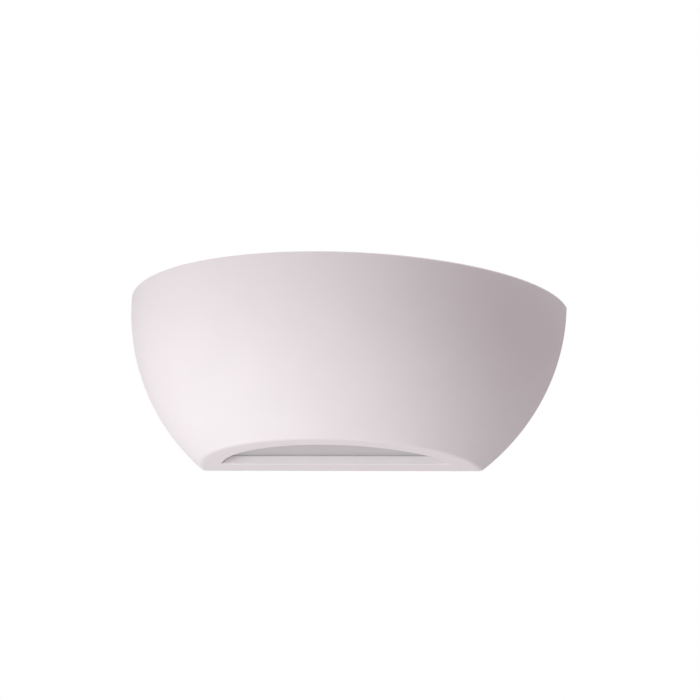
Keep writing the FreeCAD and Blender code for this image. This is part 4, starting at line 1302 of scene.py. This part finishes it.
def glass_finish(name):
    """Satin-etched glass: pale, slightly translucent, with an even fine grain and painted shade in its corners."""
    tree, shader, place = new_material(name)
    base = settings().colours.glass
    cloud = spread(tree, noise(tree, place, 26), 0.0, 1.0)
    clean = shades(tree, cloud, tinted(base, 0.985), tinted(base, 1.0))
    from_bar, from_curve = aperture_distances(tree, place)
    # Painted shade: the glass is painted darker towards the back bar and the aperture's curved edge.
    shade_along_bar = painted_corner_shade(tree, from_bar, reach=6.5 * MM, share=0.34)
    shade_along_curve = painted_corner_shade(tree, from_curve, reach=3.0 * MM, share=0.30)
    corner_shading = calc(tree, "MULTIPLY", shade_along_bar, shade_along_curve)
    link(tree, shades(tree, corner_shading, (0.0, 0.0, 0.0), clean), shader, "Base Color")
    link(tree, spread(tree, noise(tree, place, 12), 0.5, 0.6), shader, "Roughness")
    shader.inputs["Transmission Weight"].default_value = 0.08
    shader.inputs["IOR"].default_value = 1.5
    bump(tree, shader, (noise(tree, place, 0.4, detail=4), 0.01))


def metal_finish(name, base, rough, grain, height, stretch=None, dull=0.9, clouds=16):
    """Bare or plated metal: cloudy tone, uneven gloss and fine working marks.

    rough is the lowest and highest roughness. grain, its height and clouds are in millimetres.
    """
    tree, shader, place = new_material(name)
    cloud = spread(tree, noise(tree, place, clouds, detail=5, roughness=0.62), 0.0, 1.0, 0.2, 0.8)
    link(tree, shades(tree, cloud, tinted(base, dull), tinted(base, 1.03)), shader, "Base Color")
    marks = noise(tree, place, grain, detail=3, stretch=stretch)
    gloss = calc(tree, "ADD", calc(tree, "MULTIPLY", cloud, 0.35), calc(tree, "MULTIPLY", marks, 0.65))
    link(tree, spread(tree, gloss, *rough, 0.25, 0.75), shader, "Roughness")
    shader.inputs["Metallic"].default_value = 1.0
    bump(tree, shader, (marks, height))


def zinc_finish(name):
    """Rolled, plated sheet: long soft marks and wide, faint clouds."""
    zinc, along_sheet = settings().colours.zinc, (0.06, 1.0, 1.0)
    metal_finish(name, zinc, (0.30, 0.42), grain=0.9, height=0.006, stretch=along_sheet, dull=0.94, clouds=30)


def screw_finish(name):
    metal_finish(name, settings().colours.screw, (0.24, 0.40), grain=0.5, height=0.006)


def spring_finish(name):
    spring, fine_marks = settings().colours.spring, (1.0, 6.0, 6.0)
    metal_finish(name, spring, (0.28, 0.42), grain=0.9, height=0.006, stretch=fine_marks)


def nickel_finish(name):
    metal_finish(name, settings().colours.nickel, (0.22, 0.36), grain=0.8, height=0.005, dull=0.88)


def brass_finish(name):
    metal_finish(name, settings().colours.brass, (0.26, 0.42), grain=0.6, height=0.006, dull=0.8)


def tinned_finish(name):
    metal_finish(name, settings().colours.tinned, (0.30, 0.46), grain=0.7, height=0.006)


def solder_finish(name):
    metal_finish(name, settings().colours.solder, (0.22, 0.40), grain=1.4, height=0.03)


def cap_finish(name):
    metal_finish(name, settings().colours.cap, (0.20, 0.34), grain=0.9, height=0.005, stretch=(6.0, 1.0, 1.0))


def moulded_finish(name, base, rough, grain=0.5, height=0.008, clouding=0.05):
    """Moulded plastic or rubber: even colour, slight clouding, fine spark-eroded grain."""
    tree, shader, place = new_material(name)
    cloud = spread(tree, noise(tree, place, 8), 0.0, 1.0)
    dark, light = tinted(base, 1 - clouding), tinted(base, 1 + clouding)
    link(tree, shades(tree, cloud, dark, light), shader, "Base Color")
    link(tree, spread(tree, noise(tree, place, 3), *rough), shader, "Roughness")
    bump(tree, shader, (noise(tree, place, grain, detail=2), height))
    return shader


def let_light_in(shader, weight, radius, millimetres):
    """Light that spreads some millimetres under the surface, by colour."""
    shader.inputs["Subsurface Weight"].default_value = weight
    shader.inputs["Subsurface Radius"].default_value = radius
    shader.inputs["Subsurface Scale"].default_value = millimetres * MM


def rubber_finish(name):
    moulded_finish(name, settings().colours.rubber, (0.55, 0.72), grain=0.8, height=0.015)


def terminal_finish(name):
    shader = moulded_finish(name, settings().colours.terminal, (0.34, 0.46), clouding=0.02)
    let_light_in(shader, 0.15, (1.2, 1.1, 1.0), 1.0)


def housing_finish(name):
    moulded_finish(name, settings().colours.housing, (0.36, 0.48), grain=0.9, height=0.01, clouding=0.012)


def opal_finish(name):
    opal = settings().colours.opal
    shader = moulded_finish(name, opal, (0.20, 0.26), grain=6.0, height=0.004, clouding=0.006)
    let_light_in(shader, 0.4, (1.0, 1.0, 0.95), 4.0)


def brown_finish(name):
    moulded_finish(name, settings().colours.brown, (0.34, 0.46))


def blue_finish(name):
    moulded_finish(name, settings().colours.blue, (0.34, 0.46))


def earth_finish(name):
    """Sleeve with a yellow stripe along its front and its back, and green at its sides."""
    tree, shader, place = new_material(name)
    colours = settings().colours
    facing = put(tree, "ShaderNodeSeparateXYZ", {0: tree.nodes["Texture Coordinate"].outputs["Normal"]})
    band = spread(tree, calc(tree, "ABSOLUTE", facing.outputs["Y"]), 0.0, 1.0, 0.62, 0.68)
    link(tree, shades(tree, band, colours.earth_green, colours.earth_yellow), shader, "Base Color")
    link(tree, spread(tree, noise(tree, place, 3), 0.34, 0.46), shader, "Roughness")
    bump(tree, shader, (noise(tree, place, 0.5), 0.006))


def porcelain_finish(name):
    """Cream glaze: tiny specks and a slightly uneven, glossy coat."""
    tree, shader, place = new_material(name)
    base = settings().colours.porcelain
    cloud = spread(tree, noise(tree, place, 12), 0.0, 1.0)
    body = shades(tree, cloud, tinted(base, 0.965), tinted(base, 1.015))
    speck = spots(tree, place, 4.5, 0.03, 0.06)
    link(tree, shades(tree, speck, body, tinted(base, 0.55)), shader, "Base Color")
    link(tree, spread(tree, noise(tree, place, 6), 0.12, 0.2), shader, "Roughness")
    shader.inputs["Coat Weight"].default_value = 0.5
    shader.inputs["Coat Roughness"].default_value = 0.06
    bump(tree, shader, (noise(tree, place, 5, detail=2), 0.06))


def black_glass_finish(name):
    """Black glass with a fire-polished, faintly uneven face."""
    tree, shader, place = new_material(name)
    base = settings().colours.black_glass
    cloud = spread(tree, noise(tree, place, 4), 0.0, 1.0)
    link(tree, shades(tree, cloud, tinted(base, 0.8), tinted(base, 1.6)), shader, "Base Color")
    link(tree, spread(tree, noise(tree, place, 2), 0.06, 0.14), shader, "Roughness")
    bump(tree, shader, (noise(tree, place, 3), 0.03))


FINISHES = {
    "plaster": plaster_finish,
    "frosted_glass": glass_finish,
    "zinc_steel": zinc_finish,
    "plated_screw": screw_finish,
    "spring_steel": spring_finish,
    "grommet_rubber": rubber_finish,
    "porcelain": porcelain_finish,
    "nickel_brass": nickel_finish,
    "terminal_brass": brass_finish,
    "terminal_plastic": terminal_finish,
    "tinned_copper": tinned_finish,
    "brown_sleeve": brown_finish,
    "blue_sleeve": blue_finish,
    "earth_sleeve": earth_finish,
    "solder": solder_finish,
    "black_glass": black_glass_finish,
    "cap_metal": cap_finish,
    "lamp_plastic": housing_finish,
    "opal_plastic": opal_finish,
}


# ---- stage ----
AIM = Vector((11.1, -45.0, 7.6)) * MM  # what the camera and the lamps face, inside the bowl
WHITE = (1.0, 1.0, 1.0)
SHADE_TINT = (1.0, 0.86, 0.91)  # the studio's own light is faintly pink
SHADE_LIGHT = 0.467  # strength of that light on the object
FLOOR_GLOW = 0.66  # lifts the lit floor to white for the camera


def white_to_camera(tree, plain, strength):
    """Light for the object, but white to the camera and in reflections."""
    path = tree.nodes.new("ShaderNodeLightPath").outputs
    seen = calc(tree, "MAXIMUM", path["Is Camera Ray"], path["Is Glossy Ray"])
    seen = calc(tree, "MAXIMUM", seen, path["Is Transmission Ray"])
    amount = calc(tree, "ADD", strength, calc(tree, "MULTIPLY", seen, 1.0 - strength))
    return shades(tree, seen, plain, WHITE), amount


def build_world():
    """Even light from all round, which the camera sees as white."""
    world = bpy.data.worlds.new("studio")
    world.use_nodes = True
    tree = world.node_tree
    tree.nodes.clear()
    tint, amount = white_to_camera(tree, SHADE_TINT, SHADE_LIGHT)
    background = put(tree, "ShaderNodeBackground", {"Color": tint, "Strength": amount})
    put(tree, "ShaderNodeOutputWorld", {"Surface": background.outputs[0]})
    bpy.context.scene.world = world


def build_floor():
    """Wide pale floor, in metres, well below a light that hangs on a wall."""
    level, half = -1.5, 15.0
    bm = bmesh.new()
    corners = [(-half, -half), (half, -half), (half, half), (-half, half)]
    bm.faces.new([bm.verts.new((x, y, level)) for x, y in corners])
    floor = add_object("studio_floor", mesh_from("studio_floor", bm))
    material = bpy.data.materials.new("studio_floor")
    material.use_nodes = True
    tree = material.node_tree
    tree.nodes.clear()
    diffuse = put(tree, "ShaderNodeBsdfDiffuse", {"Color": (*settings().colours.floor, 1.0)})
    glow = put(tree, "ShaderNodeEmission", {"Color": (*WHITE, 1.0), "Strength": FLOOR_GLOW})
    path = tree.nodes.new("ShaderNodeLightPath").outputs
    seen = calc(tree, "MAXIMUM", path["Is Camera Ray"], path["Is Transmission Ray"])
    lift = put(tree, "ShaderNodeMixShader", {0: seen})
    both = put(tree, "ShaderNodeAddShader", {0: diffuse.outputs[0], 1: glow.outputs[0]})
    tree.links.new(diffuse.outputs[0], lift.inputs[1])
    tree.links.new(both.outputs[0], lift.inputs[2])
    put(tree, "ShaderNodeOutputMaterial", {"Surface": lift.outputs[0]})
    floor.data.materials.append(material)


def soft_light(name, direction, distance, size, power):
    """Large square lamp that faces the object. Distance and size are in metres, power in watts."""
    data = bpy.data.lights.new(name, "AREA")
    data.size = size
    data.energy = power
    lamp = bpy.data.objects.new(name, data)
    bpy.context.scene.collection.objects.link(lamp)
    lamp.location = AIM + direction.normalized() * distance
    lamp.rotation_mode = "QUATERNION"
    lamp.rotation_quaternion = (lamp.location - AIM).to_track_quat("Z", "Y")


def build_camera():
    """Below the bowl and to its right, with a long lens, as the photograph was taken."""
    azimuth, elevation, roll = math.radians(12.04), math.radians(-14.97), math.radians(2.95)
    distance = 3.0  # metres
    back = Vector((
        math.sin(azimuth) * math.cos(elevation),
        -math.cos(azimuth) * math.cos(elevation),
        math.sin(elevation),
    ))
    right = Vector((math.cos(azimuth), math.sin(azimuth), 0))
    up = back.cross(right)
    turned_right = math.cos(roll) * right + math.sin(roll) * up
    turned_up = -math.sin(roll) * right + math.cos(roll) * up
    data = bpy.data.cameras.new("camera")
    data.lens = 229.5
    data.sensor_width = 36.0
    camera = bpy.data.objects.new("camera", data)
    bpy.context.scene.collection.objects.link(camera)
    columns = Matrix((turned_right, turned_up, back)).transposed().to_4x4()
    camera.matrix_world = Matrix.Translation(AIM + back * distance) @ columns
    bpy.context.scene.camera = camera


def build_stage():
    """Floor, even light, five soft lamps and the camera."""
    build_floor()
    build_world()
    soft_light("key", Vector((-0.60, -0.62, -0.50)), distance=1.4, size=1.0, power=11.9)
    soft_light("low fill", Vector((-0.1, -0.15, -1.0)), distance=1.4, size=1.0, power=1.9)
    soft_light("top", Vector((0.10, -0.05, 1.0)), distance=1.3, size=0.8, power=9.0)
    soft_light("back", Vector((-0.20, 1.0, 0.25)), distance=1.6, size=0.9, power=6.0)
    soft_light("side", Vector((1.0, 0.85, 0.1)), distance=1.6, size=0.9, power=1.2)
    build_camera()
    bpy.context.scene.view_settings.view_transform = "Standard"


# ---- operators, one for each piece or group of like pieces ----
class UPLIGHTER_OT_shell(bpy.types.Operator):
    """Cast the plaster bowl, with its aperture, ledge and hanging bosses"""

    bl_idname = "uplighter.shell"
    bl_label = "Plaster bowl"

    def execute(self, context):
        build_shell()
        return {"FINISHED"}


class UPLIGHTER_OT_glass(bpy.types.Operator):
    """Lay the satin glass on the ledge"""

    bl_idname = "uplighter.glass"
    bl_label = "Satin glass"

    def execute(self, context):
        build_glass()
        return {"FINISHED"}


class UPLIGHTER_OT_glass_clips(bpy.types.Operator):
    """Clip the glass down with two sprung strips and their screws"""

    bl_idname = "uplighter.glass_clips"
    bl_label = "Glass clips"

    def execute(self, context):
        build_glass_clips()
        return {"FINISHED"}


class UPLIGHTER_OT_hangers(bpy.types.Operator):
    """Screw the keyhole plates to the bowl, and set the studs in the bracket"""

    bl_idname = "uplighter.hangers"
    bl_label = "Keyhole plates and studs"

    def execute(self, context):
        build_hangers()
        build_studs()
        return {"FINISHED"}


class UPLIGHTER_OT_bracket(bpy.types.Operator):
    """Press the wall bracket and fit its cable grommet"""

    bl_idname = "uplighter.bracket"
    bl_label = "Wall bracket and grommet"

    def execute(self, context):
        build_bracket()
        build_grommet()
        return {"FINISHED"}


class UPLIGHTER_OT_holder(bpy.types.Operator):
    """Rivet the arm to the bracket and fit the porcelain lampholder"""

    bl_idname = "uplighter.holder"
    bl_label = "Lampholder on its arm"

    def execute(self, context):
        build_arm()
        build_holder()
        build_holder_screws()
        build_screw_shell()
        build_contact()
        return {"FINISHED"}


class UPLIGHTER_OT_lamp(bpy.types.Operator):
    """Make the globe lamp: tip, insulator, rolled cap, housing and opal globe"""

    bl_idname = "uplighter.lamp"
    bl_label = "Globe lamp"

    def execute(self, context):
        build_tip()
        build_insulator()
        build_cap()
        build_housing()
        build_globe()
        return {"FINISHED"}


class UPLIGHTER_OT_terminals(bpy.types.Operator):
    """Fit the terminal block with its inserts and screws"""

    bl_idname = "uplighter.terminals"
    bl_label = "Terminal block"

    def execute(self, context):
        build_terminals()
        return {"FINISHED"}


class UPLIGHTER_OT_earth(bpy.types.Operator):
    """Fit the earth lug, its washer and its screw"""

    bl_idname = "uplighter.earth"
    bl_label = "Earth point"

    def execute(self, context):
        build_earth()
        return {"FINISHED"}


class UPLIGHTER_OT_wires(bpy.types.Operator):
    """Give the three wires their sleeves"""

    bl_idname = "uplighter.wires"
    bl_label = "Wires"

    def execute(self, context):
        build_wires()
        return {"FINISHED"}


class UPLIGHTER_OT_stage(bpy.types.Operator):
    """Set up the floor, the soft light and the camera"""

    bl_idname = "uplighter.stage"
    bl_label = "Studio"

    def execute(self, context):
        build_stage()
        return {"FINISHED"}


STEPS = (
    UPLIGHTER_OT_stage,
    UPLIGHTER_OT_shell,
    UPLIGHTER_OT_glass,
    UPLIGHTER_OT_glass_clips,
    UPLIGHTER_OT_hangers,
    UPLIGHTER_OT_bracket,
    UPLIGHTER_OT_holder,
    UPLIGHTER_OT_lamp,
    UPLIGHTER_OT_terminals,
    UPLIGHTER_OT_earth,
    UPLIGHTER_OT_wires,
)


class UPLIGHTER_PT_panel(bpy.types.Panel):
    """Sizes, colours and steps of the uplighter"""

    bl_idname = "UPLIGHTER_PT_panel"
    bl_label = "Uplighter"
    bl_space_type = "VIEW_3D"
    bl_region_type = "UI"
    bl_category = "Uplighter"

    def draw(self, context):
        layout = self.layout
        for step in STEPS:
            layout.operator(step.bl_idname)
        for group in ("shell", "lamp", "edges", "colours"):
            box = layout.box()
            box.label(text=group.capitalize())
            values = getattr(context.scene.uplighter, group)
            for label in values.__annotations__:
                box.prop(values, label)


CLASSES = (ShellSizes, LampSizes, EdgeSizes, FinishColours, UplighterSettings, *STEPS, UPLIGHTER_PT_panel)


def register():
    for made in CLASSES:
        bpy.utils.register_class(made)
    bpy.types.Scene.uplighter = bpy.props.PointerProperty(type=UplighterSettings)


def unregister():
    del bpy.types.Scene.uplighter
    for made in reversed(CLASSES):
        bpy.utils.unregister_class(made)


def main():
    register()
    for step in STEPS:
        area, action = step.bl_idname.split(".")
        getattr(getattr(bpy.ops, area), action)()


if __name__ == "__main__":
    main()
